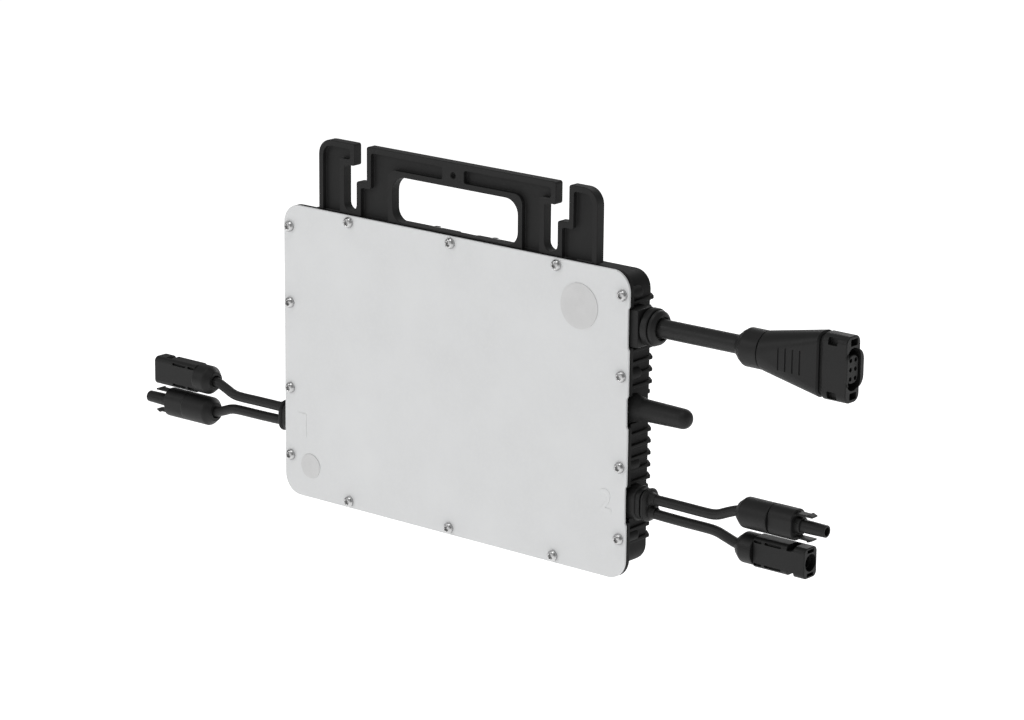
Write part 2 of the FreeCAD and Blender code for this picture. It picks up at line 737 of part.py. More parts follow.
def dc_grommets():
    """Rubber pads behind the inner ends of both PV glands, one lead through each bore."""
    body = new_body("dc_grommet")
    pad(body, "YZ_Plane", "-8.4", "3.2",
        [centred("0", "0", "$dc_neck_half_y", "$dc_neck_half_z", "$dc_neck_corner")])
    cut(body, "YZ_Plane", "-8.4", "3.2", circles=lead_holes("$dc_lead_radius + 0.05"))
    mirrored = new_body("dc_grommet_mirrored")
    pad(mirrored, "YZ_Plane", "5.2", "3.2",
        [centred("0", "0", "$dc_neck_half_y", "$dc_neck_half_z", "$dc_neck_corner")])
    cut(mirrored, "YZ_Plane", "5.2", "3.2", circles=lead_holes("$dc_lead_radius + 0.05"))
    links = []
    for source, wall in ((body, SIDE_WALL), (mirrored, "-(%s)" % SIDE_WALL)):
        link = doc.addObject("App::Link", source.Name + "_placed")
        link.LinkedObject = source
        place(link, wall, "$dc_y", "$dc_z", prefix="LinkPlacement")
        links.append(link)
    compound = doc.addObject("Part::Compound", "dc_grommets")
    compound.Links = links
    node(compound, "dc_grommets")


def antenna():
    """Rubber-covered stub aerial, the whip inside it and the washer under its root."""
    washer = "0.8"
    sheath = turned_body("antenna_sheath", [
        (washer, "$antenna_core_radius + 0.1"), ("32", "$antenna_core_radius + 0.1"),
        ("32", "0"), ("$antenna_reach", "0"),
        ("$antenna_reach", "$antenna_tip_radius", "$antenna_tip_radius - 0.3"),
        ("8.5", "$antenna_radius", "9"), ("3.2", "$antenna_root_radius - 0.6", "1"),
        (washer, "$antenna_root_radius")])
    place(node(sheath, "antenna_sheath"), SIDE_WALL, "$antenna_y", "$antenna_z")
    whip = turned_body("antenna_element", [
        ("-14", "0"), ("31", "0"), ("31", "$antenna_core_radius"),
        ("-14", "$antenna_core_radius")])
    place(node(whip, "antenna_element"), SIDE_WALL, "$antenna_y", "$antenna_z")
    seal = turned_body("antenna_seal", tube("$antenna_core_radius + 0.2",
                                            "$antenna_root_radius - 0.3", "0", washer))
    place(node(seal, "antenna_seal"), SIDE_WALL, "$antenna_y", "$antenna_z")


# ---------------------------------------------------------------- leads

def lead(label, radius, depth, route):
    """A round lead along straight runs joined by arcs as large as the runs allow."""
    shift_y, shift_z = size(depth) - size("$datum_depth"), size("$datum_rise")
    points = [FreeCAD.Vector(x, shift_y, z - shift_z) for x, z in route]
    edges, start, radii = [], points[0], []
    for before, here, after in zip(points, points[1:], points[2:]):
        back, ahead = before - here, after - here
        half_turn = (math.pi - back.getAngle(ahead)) / 2
        reach = 0.45 * min(back.Length, ahead.Length)
        radii.append(reach / math.tan(half_turn))
        back.normalize()
        ahead.normalize()
        arc_start, arc_end = here + back * reach, here + ahead * reach
        inward = (back + ahead).normalize()
        centre = here + inward * (radii[-1] / math.cos(half_turn))
        middle = centre - inward * radii[-1]
        edges.append(Part.LineSegment(start, arc_start).toShape())
        edges.append(Part.Arc(arc_start, middle, arc_end).toShape())
        start = arc_end
    edges.append(Part.LineSegment(start, points[-1]).toShape())
    path = Part.Wire(edges)
    heading = (points[1] - points[0]).normalize()
    section = Part.Wire(Part.Circle(points[0], heading, radius).toShape())
    solid = path.makePipeShell([section], True, True)
    expected = math.pi * radius ** 2 * path.Length
    assert abs(solid.Volume - expected) < 0.01 * expected, label + ": the tube is not whole"
    print("%s: length %.1f, tightest radius %.1f" % (label, path.Length, min(radii)))
    item = doc.addObject("Part::Feature", label)
    item.Shape = solid
    node(item, label)


def leads():
    """The grid cable and the four PV leads, each from inside its gland into its connector."""
    lead("ac_cable", size("$ac_cable_radius"), "$ac_y",
         [(120.5, 147.6), (142.0, 147.6), (162.0, 147.75), (182.0, 147.95), (203.0, 148.0)])
    radius = size("$dc_lead_radius")
    lead("right_upper_lead", radius, "$dc_y",
         [(117.5, 48.45), (134.0, 48.45), (151.0, 48.5), (167.0, 48.2), (179.0, 48.9),
          (188.5, 51.4), (198.0, 54.1), (206.5, 54.6), (214.0, 54.62)])
    lead("right_lower_lead", radius, "$dc_y",
         [(117.5, 40.75), (134.0, 40.75), (151.0, 40.6), (167.0, 40.0), (179.0, 39.0),
          (188.5, 36.9), (198.0, 34.9), (206.5, 34.6), (214.0, 34.58)])
    lead("left_upper_lead", radius, "$dc_y",
         [(-117.5, 48.45), (-134.0, 48.45), (-150.0, 48.3), (-165.0, 48.1), (-177.0, 48.6),
          (-186.0, 50.7), (-194.5, 53.6), (-203.0, 54.2), (-211.0, 54.22)])
    lead("left_lower_lead", radius, "$dc_y",
         [(-117.5, 40.75), (-134.0, 40.75), (-150.0, 40.6), (-165.5, 40.4), (-178.0, 39.5),
          (-187.0, 37.3), (-195.5, 34.7), (-204.0, 34.2), (-211.5, 34.18)])


# ---------------------------------------------------------------- grid plug

def ac_plug():
    """Grid plug: gland nut, flared body, flat head with its contact insert, and its seal."""
    nut = turned_body("ac_plug_nut", [
        ("3", "$ac_cable_radius + 0.3"), ("6.6", "$ac_cable_radius + 0.3"), ("6.6", "9.3"),
        ("20.6", "9.3"), ("20.6", "$plug_nut_radius", "0.6"),
        ("9.2", "$plug_nut_radius", "1.5"), ("3", "$ac_cable_radius + 1.4")])
    place(node(nut, "ac_plug_nut"), "$plug_start", "$ac_y", "$plug_z")
    seal = turned_body("ac_plug_seal", tube("$ac_cable_radius + 0.05", "8.9", "6.8", "9.8"))
    place(node(seal, "ac_plug_seal"), "$plug_start", "$ac_y", "$plug_z")

    body = new_body("ac_plug_body")
    rear = new_sketch(body, "YZ_Plane", "21.4", [centred("0", "0", "11.2", "11.2", "11")])
    front = new_sketch(body, "YZ_Plane", "60.4", [centred("-1.2", "0", "8.2", "18.4", "6.2")])
    loft = body.newObject("PartDesign::AdditiveLoft", "flare")
    loft.Profile = rear
    loft.Sections = [front]
    loft.Ruled = True
    doc.recompute()
    pad(body, "YZ_Plane", "60.4", "1.8", [centred("-1.2", "0", "5.8", "16.8", "4")])
    turn(body, [("10", "0"), ("22", "0"), ("22", "9"), ("10", "9")])
    cut(body, "YZ_Plane", "9.9", "20", circles=[("0", "0", "$ac_cable_radius + 0.3")])
    place(node(body, "ac_plug_body"), "$plug_start", "$ac_y", "$plug_z")

    head = new_body("ac_plug_head")
    offset = "($plug_bulge_y - $plug_head_y)"
    pad(head, "YZ_Plane", "62.4", "15.8",
        [centred("0", "0", "$plug_head_half_y", "$plug_head_half_z", "4.5")])
    pad(head, "YZ_Plane", "62.4", "16.6",
        [centred(offset, "0", "$plug_bulge_half_y", "$plug_bulge_half_z", "6.5")])
    cavity = centred("($throat_y - $plug_head_y)", "0", "$throat_half_y", "$throat_half_z",
                     "5.6")
    cut(head, "YZ_Plane", "64.4", "14.8", [cavity])
    latches = [centred("0.6", sign + "14.9", "3.2", "1.9", "0.6") for sign in ("", "-")]
    cut(head, "YZ_Plane", "73.2", "6", latches)
    place(node(head, "ac_plug_head"), "$plug_start", "$plug_head_y", "$plug_z")

    rows, columns = ("-$contact_pitch_z", "0", "$contact_pitch_z"), ("-", "")
    centres = [(sign + "$contact_pitch_y / 2", z) for z in rows for sign in columns]
    insert = new_body("ac_plug_insert")
    pad(insert, "YZ_Plane", "64.7", "7.3",
        [centred("0", "0", "($throat_half_y - 0.3)", "($throat_half_z - 0.3)", "5.3")])
    pad(insert, "YZ_Plane", "64.7", "13.3", [centred("0", "0", "4.9", "7.9", "4.3")])
    cut(insert, "YZ_Plane", "64.7", "13.3",
        circles=[(y, z, "$contact_radius + 0.1") for y, z in centres])
    place(node(insert, "ac_plug_insert"), "$plug_start", "$throat_y", "$plug_z")
    contact = turned_body("ac_contact", [
        ("0", "0"), ("10.4", "0"), ("10.4", "$contact_radius", "0.5"), ("0", "$contact_radius")])
    places = [("$plug_start + 64.8", "$throat_y + %s" % y, "$plug_z + (%s)" % z)
              for y, z in centres]
    repeated("ac_plug_contacts", contact, places)


# ---------------------------------------------------------------- PV connectors

def pv_nut(name, end):
    """Coned gland nut of a PV connector."""
    bore = "$dc_lead_radius + 0.25"
    return turned_body(name, [
        ("$shell_tail", "$dc_lead_radius + 1"), ("6.2", bore), ("$shell_cone", bore),
        ("$shell_cone", "$thread_radius + 0.3"),
        (end, "$thread_radius + 0.3"), (end, "$shell_radius", "0.5"),
        ("$shell_cone", "$shell_radius", "1.5"), ("$shell_tail", "$dc_lead_radius + 2.6", "0.5")])


def male_connector(side, x, z, turn_by):
    """Plug with a hollow nose: nut, body with flat flanks, contact pin."""
    nut = pv_nut(side + "_male_nut", "$male_nut_end")
    body = turned_body(side + "_male_body", [
        ("12.5", "$dc_lead_radius + 0.25"), ("20", "$dc_lead_radius + 0.25"),
        ("20", "$nose_bore_radius"), ("$nose_end", "$nose_bore_radius"),
        ("$nose_end", "$nose_radius", "0.4"), ("$collar_end", "$nose_radius"),
        ("$collar_end", "$collar_radius", "0.5"), ("$sleeve_end", "$collar_radius"),
        ("$sleeve_end", "$shell_radius", "0.6"), ("$male_nut_end + 0.5", "$shell_radius", "0.4"),
        ("$male_nut_end + 0.5", "$thread_radius"), ("12.5", "$thread_radius")])
    flats = [box_corners("$shell_half_y", "12", "-12", "12"),
             box_corners("-12", "-$shell_half_y", "-12", "12")]
    cut(body, "YZ_Plane", "$male_nut_end + 0.5", "$sleeve_end - $male_nut_end - 0.5", flats)
    pin = turned_body(side + "_male_pin", [
        ("18.4", "0"), ("$nose_end - 4", "0"), ("$nose_end - 4", "$pin_radius", "1.2"),
        ("18.4", "$pin_radius")])
    for item in (nut, body, pin):
        place(node(item, item.Name), x, "$dc_y", z, turn_by)


def latch_channels(body):
    """Two channels for the mating plug's snap arms, each with a window its barb springs into."""
    middle, half = "($channel_low + $channel_high) / 2", "($channel_high - $channel_low) / 2"
    channels = [centred("0", sign + "(%s)" % middle, "$channel_half_width", half)
                for sign in ("", "-")]
    start = "$female_end - $channel_depth"
    cut(body, "YZ_Plane", start, "$channel_depth", channels)
    windows = [box_corners("-$channel_half_width", "$channel_half_width", "$channel_low", "12"),
               box_corners("-$channel_half_width", "$channel_half_width", "-12",
                           "-$channel_low")]
    cut(body, "YZ_Plane", start, "$window_length", windows)


def female_connector(side, x, z, turn_by):
    """Socket with flat flanks: nut, body, contact tube."""
    nut = pv_nut(side + "_female_nut", "$female_nut_end")
    body = new_body(side + "_female_body")
    start = "$female_nut_end + 0.5"
    pad(body, "YZ_Plane", start, "$female_end - (%s)" % start,
        [centred("0", "0", "$female_half_y", "$female_half_z", "3")])
    turn(body, [("8", "0"), ("20", "0"), ("20", "$thread_radius"), ("8", "$thread_radius")])
    cut(body, "YZ_Plane", "8", "12", circles=[("0", "0", "$dc_lead_radius + 0.25")])
    cut(body, "YZ_Plane", "19", "30", circles=[("0", "0", "$nose_bore_radius")])
    cut(body, "YZ_Plane", "$female_end - $socket_bore_depth", "$socket_bore_depth",
        circles=[("0", "0", "$socket_bore_radius")])
    cut(body, "YZ_Plane", "$female_end - $mouth_depth", "$mouth_depth",
        circles=[("0", "0", "$mouth_radius")])
    latch_channels(body)
    contact = turned_body(side + "_female_contact", [
        ("18.4", "0"), ("30", "0"), ("30", "$pin_radius"), ("18.4", "$pin_radius")])
    for item in (nut, body, contact):
        place(node(item, item.Name), x, "$dc_y", z, turn_by)


def latch_arm(label, x, z, turn_by, upright):
    """A springy snap arm beside the nose, with a barb outside its tip."""
    body = new_body(label)
    sheet_half, barb = "$latch_half_sheet", "$latch_barb"
    sign = "" if upright else "-"
    inner, outer = "-%s(%s)" % (sign, sheet_half), "%s(%s)" % (sign, sheet_half)
    crest = "%s(%s + %s)" % (sign, sheet_half, barb)
    if not upright:
        inner = sheet_half
    corners = [("0", inner), ("$latch_reach", inner), ("$latch_reach", outer),
               ("$latch_reach - 3", crest), ("$latch_reach - 3.6", outer), ("0", outer)]
    if not upright:
        corners.reverse()
    pad(body, "XZ_Plane", "-$latch_half_width", "2 * $latch_half_width", [corners])
    rise = "$latch_rise" if upright else "-$latch_rise"
    root = "%s + $latch_root" % x if turn_by == 0 else "%s - $latch_root" % x
    place(node(body, label), root, "$dc_y", "%s + (%s)" % (z, rise), turn_by)


def pv_connectors():
    male_connector("right", "$plug_right_x", "$right_male_z", 0)
    female_connector("right", "$plug_right_x", "$right_female_z", 0)
    male_connector("left", "-$plug_left_x", "$left_male_z", 180)
    female_connector("left", "-$plug_left_x", "$left_female_z", 180)
    for side, x, z, turn_by in (("right", "$plug_right_x", "$right_male_z", 0),
                                ("left", "-$plug_left_x", "$left_male_z", 180)):
        latch_arm(side + "_upper_latch", x, z, turn_by, True)
        latch_arm(side + "_lower_latch", x, z, turn_by, False)


# ---------------------------------------------------------------- inside the housing

def board_spots():
    """The board's six fixing points."""
    return [(x, z) for z in ("$board_low + 6", "$board_high - 6")
            for x in ("-$board_half_x + 6", "0", "$board_half_x - 6")]


def board_set():
    """Circuit board on six posts, with its screws."""
    board = new_body("circuit_board")
    pad(board, "XZ_Plane", "$board_front", "$board_sheet",
        [box_corners("-$board_half_x", "$board_half_x", "$board_low", "$board_high", "4")])
    spots = board_spots()
    cut(board, "XZ_Plane", "$board_front", "$board_sheet",
        circles=[(x, z, "1.7") for x, z in spots])
    place(node(board, "circuit_board"), "0", "0", "0")
    rear, floor = "($board_front + $board_sheet)", "($wall_back - $wall_sheet)"
    post = turned_body("board_post", tube("1.25", "3", "0", "%s - %s" % (floor, rear)))
    repeated("board_posts", post, [(x, rear, z) for x, z in spots], 90)
    screw = turned_body("board_screw", [
        ("-2", "0"), ("5.5", "0"), ("5.5", "1.2"), ("0", "1.2"), ("0", "2.8"),
        ("-2", "2.8", "0.8")])
    repeated("board_screws", screw, [(x, "$board_front", z) for x, z in spots], 90)


def power_parts():
    """Transformers, chokes, capacitors, relays, transistors and their heat pads."""
    stages = [(x, z) for x in ("-62", "-20") for z in ("62", "118")]
    core = sized_box("core_half", "34", "10.4", "26")
    cut(core, "XZ_Plane", "0", "10.4", [centred("0", "9.5", "9.5", "1.8"),
                                        centred("0", "-9.5", "9.5", "1.8")])
    repeated("transformer_cores", core, [(x, "$board_front - 10.4", z) for x, z in stages])
    winding = turned_body("winding", tube("0.2", "1.6", "-9", "9"))
    coils = [(x, "$board_front - 5.2", "%s + %s" % (z, rise))
             for x, z in stages for rise in ("9.5", "(-9.5)")]
    repeated("transformer_windings", winding, coils)
    can = turned_body("capacitor", [
        ("0", "0"), ("11.6", "0"), ("11.6", "5", "0.6"), ("0", "5", "0.6")])
    cans = [(x, "$board_front - 11.6", z) for x in ("-98", "-86") for z in
            ("40", "54", "68", "110", "124", "138")]
    repeated("input_capacitors", can, cans, 90)
    film = sized_box("film_block", "9", "10.8", "26")
    repeated("film_capacitors", film, [("16", "$board_front - 10.8", z) for z in ("62", "118")])
    choke = turned_body("choke", tube("4", "9.5", "0", "10.6"))
    repeated("filter_chokes", choke, [("44", "$board_front - 10.6", z) for z in
                                      ("62", "90", "118")], 90)
    relay = sized_box("relay", "20", "11", "15")
    repeated("grid_relays", relay, [("76", "$board_front - 11", z) for z in ("118", "140")])
    rear = "($board_front + $board_sheet)"
    chip = sized_box("transistor", "10", "4.4", "15")
    chips = [(x, rear, z) for x in ("-78", "-62", "-46", "-20", "-4", "28", "44", "60")
             for z in ("90",)]
    repeated("power_transistors", chip, chips)
    pads = sized_box("heat_pad", "52", "$wall_back - $wall_sheet - %s - 4.4" % rear, "18")
    repeated("thermal_pads", pads, [(x, "%s + 4.4" % rear, "90") for x in ("-62", "0", "56")])
    radio = block("radio_module", "94", "111", "9", "$board_front", "86", "112")
    node(radio, "radio_module")


def conductor_tails():
    """Bared conductors between the leads' ends and the board."""
    tail = turned_body("dc_tail", [("0", "0"), ("9", "0"), ("9", "1.3"), ("0", "1.3")])
    inner = "$cover_width / 2 - $wall_inset - 8.2"
    places = []
    for rise in ("$dc_lead_rise", "-$dc_lead_rise"):
        places.append(("%s - 9" % inner, "$dc_y", "$dc_z + (%s)" % rise))
        places.append(("-(%s)" % inner, "$dc_y", "$dc_z + (%s)" % rise))
    repeated("dc_conductor_tails", tail, places)
    core = turned_body("ac_tail", [("0", "0"), ("7.5", "0"), ("7.5", "1"), ("0", "1")])
    spots = (("-2.4", "-1.6"), ("1.4", "-1.6"), ("-0.5", "2.4"))
    repeated("ac_conductor_tails", core,
             [("112.6", "$ac_y + (%s)" % y, "$ac_z + (%s)" % z) for y, z in spots])


def potting():
    """Potting resin that buries the board's rear half, cut around what stands in it."""
    sealed = block("potting_block", "-116.8", "116.8", "16.4", "22.3", "12", "168")
    buried = [item for item in NODES if item.Label in
              ("power_transistors", "thermal_pads")]
    core = turned_body("post_envelope", [("0", "0"), ("9", "0"), ("9", "3"), ("0", "3")])
    for index, (x, z) in enumerate(board_spots()):
        link = doc.addObject("App::Link", "post_envelope_%d" % (index + 1))
        link.LinkedObject = core
        place(link, x, "$board_front", z, 90, prefix="LinkPlacement")
        buried.append(link)
    bosses = doc.addObject("Part::MultiFuse", "buried_parts")
    bosses.Shapes = buried
    resin = doc.addObject("Part::Cut", "potting_compound")
    resin.Base = sealed
    resin.Tool = bosses
    node(resin, "potting_compound")


# ---------------------------------------------------------------- build, check and write

def check():
    """Stop at any object that failed and at any sub-part that is not a sound solid."""
    for item in doc.Objects:
        state = " ".join(item.State)
        assert "Invalid" not in state and "Error" not in state, (item.Name, state)
    for item in NODES:
        shape = item.Shape
        assert not shape.isNull() and shape.isValid() and shape.Solids, item.Label


def write():
    os.makedirs("parts", exist_ok=True)
    for item in NODES:
        item.Shape.exportStep("parts/%s.step" % item.Label)
        print("%-24s %d solid(s) %.0f mm3" % (item.Label, len(item.Shape.Solids),
                                              item.Shape.Volume))
    print(len(NODES), "nodes")


def main():
    fill_sheet()
    front_cover()
    cover_gasket()
    cover_screws()
    port_seals()
    housing()
    mounting_bracket()
    bracket_screws()
    ac_gland()
    dc_gland("left", 180)
    dc_gland("right", 0)
    dc_grommets()
    antenna()
    leads()
    ac_plug()
    pv_connectors()
    board_set()
    power_parts()
    conductor_tails()
    doc.recompute()
    potting()
    doc.recompute()
    check()
    write()


main()
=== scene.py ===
import json
import math
import random

import bmesh
import bpy
from mathutils import Matrix, Vector


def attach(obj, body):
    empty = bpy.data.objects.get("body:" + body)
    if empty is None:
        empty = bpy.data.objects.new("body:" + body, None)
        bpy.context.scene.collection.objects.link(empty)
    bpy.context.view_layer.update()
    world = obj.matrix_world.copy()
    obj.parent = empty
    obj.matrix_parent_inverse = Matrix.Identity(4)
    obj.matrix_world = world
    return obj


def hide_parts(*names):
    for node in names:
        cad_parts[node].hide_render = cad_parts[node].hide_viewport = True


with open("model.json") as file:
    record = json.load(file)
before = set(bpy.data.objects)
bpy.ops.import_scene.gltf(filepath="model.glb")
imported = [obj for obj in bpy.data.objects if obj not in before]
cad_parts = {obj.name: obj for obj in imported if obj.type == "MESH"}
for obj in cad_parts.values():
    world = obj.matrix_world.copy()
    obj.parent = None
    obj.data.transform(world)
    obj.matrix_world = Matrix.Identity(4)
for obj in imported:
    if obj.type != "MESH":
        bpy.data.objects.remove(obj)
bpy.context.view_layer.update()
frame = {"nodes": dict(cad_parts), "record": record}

# Sizes are in millimetres from the front cover: X from its middle, Y from its front face, Z from
# its lower edge.  DATUM is the frame's origin in those terms.
MM = 0.001
DATUM = Vector((0, 8.4, 215.3))
WIDTH, HEIGHT, COVER_CORNER = 261.0, 180.0, 12

# The seat of the glands and the antenna, and the face of the casing's side walls around them.
SIDE_WALL = WIDTH / 2 - 5
CASING = SIDE_WALL + 1.4
CASING_LOW, CASING_TOP, CASING_BACK, CASING_CORNER = 5, 176.4, 25.6, 10.4
CAVITY = (-122.5, 122.5, 8, 172, 6)
COVER_SHEET = 1.5
FLANGE_FRONT, FLANGE_BACK = 2.0, 4.4
FIN_FIRST, FIN_PITCH, FIN_COUNT, FIN_SHEET = 21.0, 7.0, 21, 2.0

# The bracket: its sheet, its outline and the seats of its two slots.
WEB_LEFT, WEB_RIGHT, WEB_TOP = -104.0, 105.5, 222.8
WEB_FRONT, WEB_BACK = 2.0, 8.4
SLOT_SEATS, SLOT_SHIFT = (-79.05, 72.35), 8.0
FOOT_LOW, FOOT_HIGH, FOOT_INNER, FOOT_OUTER = 175.1, 178.6, 5.6, 72.8
TIE_HOLE_Z, TIE_HOLE_RADIUS = 215.3, 1.9

# The camera that the picture is taken with.
CAMERA_ANGLES = (39.435, 15.301, 0.543)
CAMERA_PLACE = (1.34877, -1.59159, 0.46028)
CAMERA_LENS = 130.78
random.seed(7)


def at(x, y, z):
    """A point in the frame, in metres."""
    return (Vector((x, y, z)) - DATUM) * MM


# ---------------------------------------------------------------- camera

def set_camera():
    """The camera, turned by yaw, pitch and roll."""
    yaw, pitch, roll = (math.radians(angle) for angle in CAMERA_ANGLES)
    forward = Vector((-math.sin(yaw) * math.cos(pitch), math.cos(yaw) * math.cos(pitch),
                      -math.sin(pitch)))
    right = forward.cross(Vector((0, 0, 1))).normalized()
    up = right.cross(forward)
    right, up = (right * math.cos(roll) + up * math.sin(roll),
                 up * math.cos(roll) - right * math.sin(roll))
    camera_data = bpy.data.cameras.new("camera")
    camera_data.lens = CAMERA_LENS
    camera_data.sensor_width = 36
    camera_data.clip_end = 50
    camera = bpy.data.objects.new("camera", camera_data)
    camera.matrix_world = (Matrix.Translation(Vector(CAMERA_PLACE))
                           @ Matrix((right, up, -forward)).transposed().to_4x4())
    bpy.context.scene.collection.objects.link(camera)
    bpy.context.scene.camera = camera


set_camera()


# ---------------------------------------------------------------- materials

class Graph:
    """A short way to write a node tree."""

    def __init__(self, name):
        self.material = bpy.data.materials.new(name)
        self.material.use_nodes = True
        self.tree = self.material.node_tree
        self.tree.nodes.clear()

    def add(self, kind, inputs=None, **settings):
        node = self.tree.nodes.new("ShaderNode" + kind)
        for key, value in settings.items():
            setattr(node, key, value)
        for key, value in (inputs or {}).items():
            if isinstance(value, bpy.types.NodeSocket):
                self.tree.links.new(value, node.inputs[key])
            else:
                node.inputs[key].default_value = value
        return node

    def blend(self, amount, low, high):
        """Mix two colours by an amount."""
        node = self.add("Mix", data_type="RGBA")
        for index, value in ((0, amount), (6, low), (7, high)):
            if isinstance(value, bpy.types.NodeSocket):
                self.tree.links.new(value, node.inputs[index])
            else:
                node.inputs[index].default_value = value
        return node.outputs[2]

    def span(self, value, low, high, from_low=0.3, from_high=0.7):
        """Map a value's useful middle onto a range."""
        node = self.add("MapRange", {"Value": value, "From Min": from_low, "From Max": from_high,
                                     "To Min": low, "To Max": high})
        return node.outputs["Result"]


def grey(level, tint=(1.0, 1.0, 1.0)):
    """A linear grey, slightly tinted."""
    return (level * tint[0], level * tint[1], level * tint[2], 1.0)


def make_material(name, dark, light, rough, metallic=0.0, grain=2500.0, relief=0.02,
                  mottle=60.0, edge=0.0, edge_colour=None, stretch=(1, 1, 1), coat=0.0,
                  specular=0.5, pits=0.0):
    """A surface with colour drift, fine grain in relief, uneven gloss and worn edges."""
    g = Graph(name)
    place = g.add("TexCoord").outputs["Object"]
    stretched = g.add("Mapping", {"Vector": place, "Scale": stretch}).outputs["Vector"]
    drift = g.add("TexNoise", {"Vector": place, "Scale": mottle, "Detail": 4.0,
                               "Roughness": 0.6}).outputs["Fac"]
    fine = g.add("TexNoise", {"Vector": stretched, "Scale": grain, "Detail": 3.0,
                              "Roughness": 0.55}).outputs["Fac"]
    speck = g.add("TexNoise", {"Vector": stretched, "Scale": grain * 0.37,
                               "Detail": 2.0}).outputs["Fac"]
    colour = g.blend(g.span(drift, 0.0, 1.0), dark, light)
    colour = g.blend(g.span(speck, 0.0, 0.35, 0.45, 0.7), colour, light)
    roughness = g.add("Math", {0: g.span(drift, rough[0], rough[1]),
                               1: g.span(fine, -0.03, 0.03)}, operation="ADD").outputs[0]
    if edge > 0.0:
        rounded_normal = g.add("Bevel", {"Radius": 0.0006}, samples=4).outputs["Normal"]
        plain_normal = g.add("NewGeometry").outputs["Normal"]
        match = g.add("VectorMath", {0: rounded_normal, 1: plain_normal},
                      operation="DOT_PRODUCT").outputs["Value"]
        worn = g.add("MapRange", {"Value": match, "From Min": 0.97, "From Max": 0.8,
                                  "To Min": 0.0, "To Max": edge}).outputs["Result"]
        patchy = g.add("Math", {0: worn, 1: g.span(speck, 0.35, 1.0)},
                       operation="MULTIPLY").outputs[0]
        colour = g.blend(patchy, colour, edge_colour or light)
    bump = g.add("Bump", {"Height": fine, "Strength": 0.9, "Distance": relief * MM})
    normal = bump.outputs["Normal"]
    if pits > 0.0:
        cells = g.add("TexVoronoi", {"Vector": place, "Scale": grain * 0.22}).outputs["Distance"]
        normal = g.add("Bump", {"Height": cells, "Strength": 0.7, "Distance": pits * MM,
                                "Normal": normal}).outputs["Normal"]
    shader = g.add("BsdfPrincipled", {
        "Base Color": colour, "Roughness": roughness, "Metallic": metallic,
        "Specular IOR Level": specular, "Coat Weight": coat, "Coat Roughness": 0.3,
        "Normal": normal})
    g.add("OutputMaterial", {"Surface": shader.outputs[0]})
    return g.material


def all_materials():
    """One material for each material slot."""
    cool = (0.99, 1.0, 1.005)
    return {
        "cover_paint": make_material(
            "cover_paint", grey(0.66, cool), grey(0.70, cool), (0.40, 0.48), grain=1400.0,
            relief=0.010, mottle=22.0, edge=0.4, edge_colour=grey(0.8), specular=0.45),
        "casting": make_material(
            "casting", grey(0.0055), grey(0.010), (0.62, 0.74), grain=1700.0, relief=0.05,
            mottle=45.0, edge=0.5, edge_colour=grey(0.032), specular=0.19, pits=0.02),
        "bracket_metal": make_material(
            "bracket_metal", grey(0.010), grey(0.016), (0.58, 0.70), grain=1800.0, relief=0.045,
            mottle=50.0, edge=0.5, edge_colour=grey(0.035), specular=0.24, pits=0.015),
        "screw_steel": make_material(
            "screw_steel", grey(0.42), grey(0.56), (0.24, 0.34), metallic=1.0, grain=5200.0,
            relief=0.006, mottle=400.0, edge=0.3, edge_colour=grey(0.8), stretch=(1, 1, 6)),
        "gasket_rubber": make_material(
            "gasket_rubber", grey(0.008), grey(0.013), (0.72, 0.82), grain=2600.0, relief=0.02,
            specular=0.2),
        "seal_film": make_material(
            "seal_film", grey(0.545), grey(0.60), (0.34, 0.44), metallic=0.1, grain=3600.0,
            relief=0.012, mottle=90.0, edge=0.3, edge_colour=grey(0.85)),
        "gland_plastic": make_material(
            "gland_plastic", grey(0.009), grey(0.014), (0.48, 0.58), grain=3200.0,
            relief=0.022, edge=0.45, edge_colour=grey(0.03), specular=0.26),
        "connector_plastic": make_material(
            "connector_plastic", grey(0.0075), grey(0.0115), (0.46, 0.56), grain=3400.0,
            relief=0.018, edge=0.45, edge_colour=grey(0.03), specular=0.26),
        "cable_jacket": make_material(
            "cable_jacket", grey(0.009), grey(0.0135), (0.46, 0.56), grain=1500.0, relief=0.02,
            stretch=(0.15, 1, 1), mottle=120.0, specular=0.28),
        "antenna_rubber": make_material(
            "antenna_rubber", grey(0.010), grey(0.015), (0.52, 0.62), grain=2600.0,
            relief=0.02, edge=0.3, edge_colour=grey(0.03), specular=0.26),
        "contact_metal": make_material(
            "contact_metal", (0.62, 0.58, 0.48, 1), (0.78, 0.74, 0.64, 1), (0.2, 0.34),
            metallic=1.0, grain=4200.0, relief=0.004, stretch=(0.3, 1, 1)),
        "copper_wire": make_material(
            "copper_wire", (0.68, 0.36, 0.2, 1), (0.82, 0.48, 0.3, 1), (0.24, 0.36),
            metallic=1.0, grain=2400.0, relief=0.02, stretch=(1, 6, 6)),
        "board_laminate": make_material(
            "board_laminate", (0.012, 0.09, 0.04, 1), (0.02, 0.14, 0.06, 1), (0.3, 0.42),
            grain=1200.0, relief=0.01, coat=0.3),
        "ferrite": make_material(
            "ferrite", grey(0.05), grey(0.08), (0.6, 0.75), grain=2200.0, relief=0.03),
        "component_plastic": make_material(
            "component_plastic", grey(0.045), grey(0.065), (0.5, 0.62), grain=2600.0,
            relief=0.02, edge=0.3, edge_colour=grey(0.06)),
        "capacitor_can": make_material(
            "capacitor_can", grey(0.45), grey(0.58), (0.3, 0.42), metallic=0.9, grain=2600.0,
            relief=0.008, stretch=(1, 1, 5)),
        "resin": make_material(
            "resin", grey(0.04), grey(0.07), (0.35, 0.5), grain=600.0, relief=0.05, coat=0.2),
        "heat_pad": make_material(
            "heat_pad", (0.3, 0.36, 0.45, 1), (0.36, 0.42, 0.5, 1), (0.7, 0.82), grain=1800.0,
            relief=0.02),
    }


MATERIALS = all_materials()


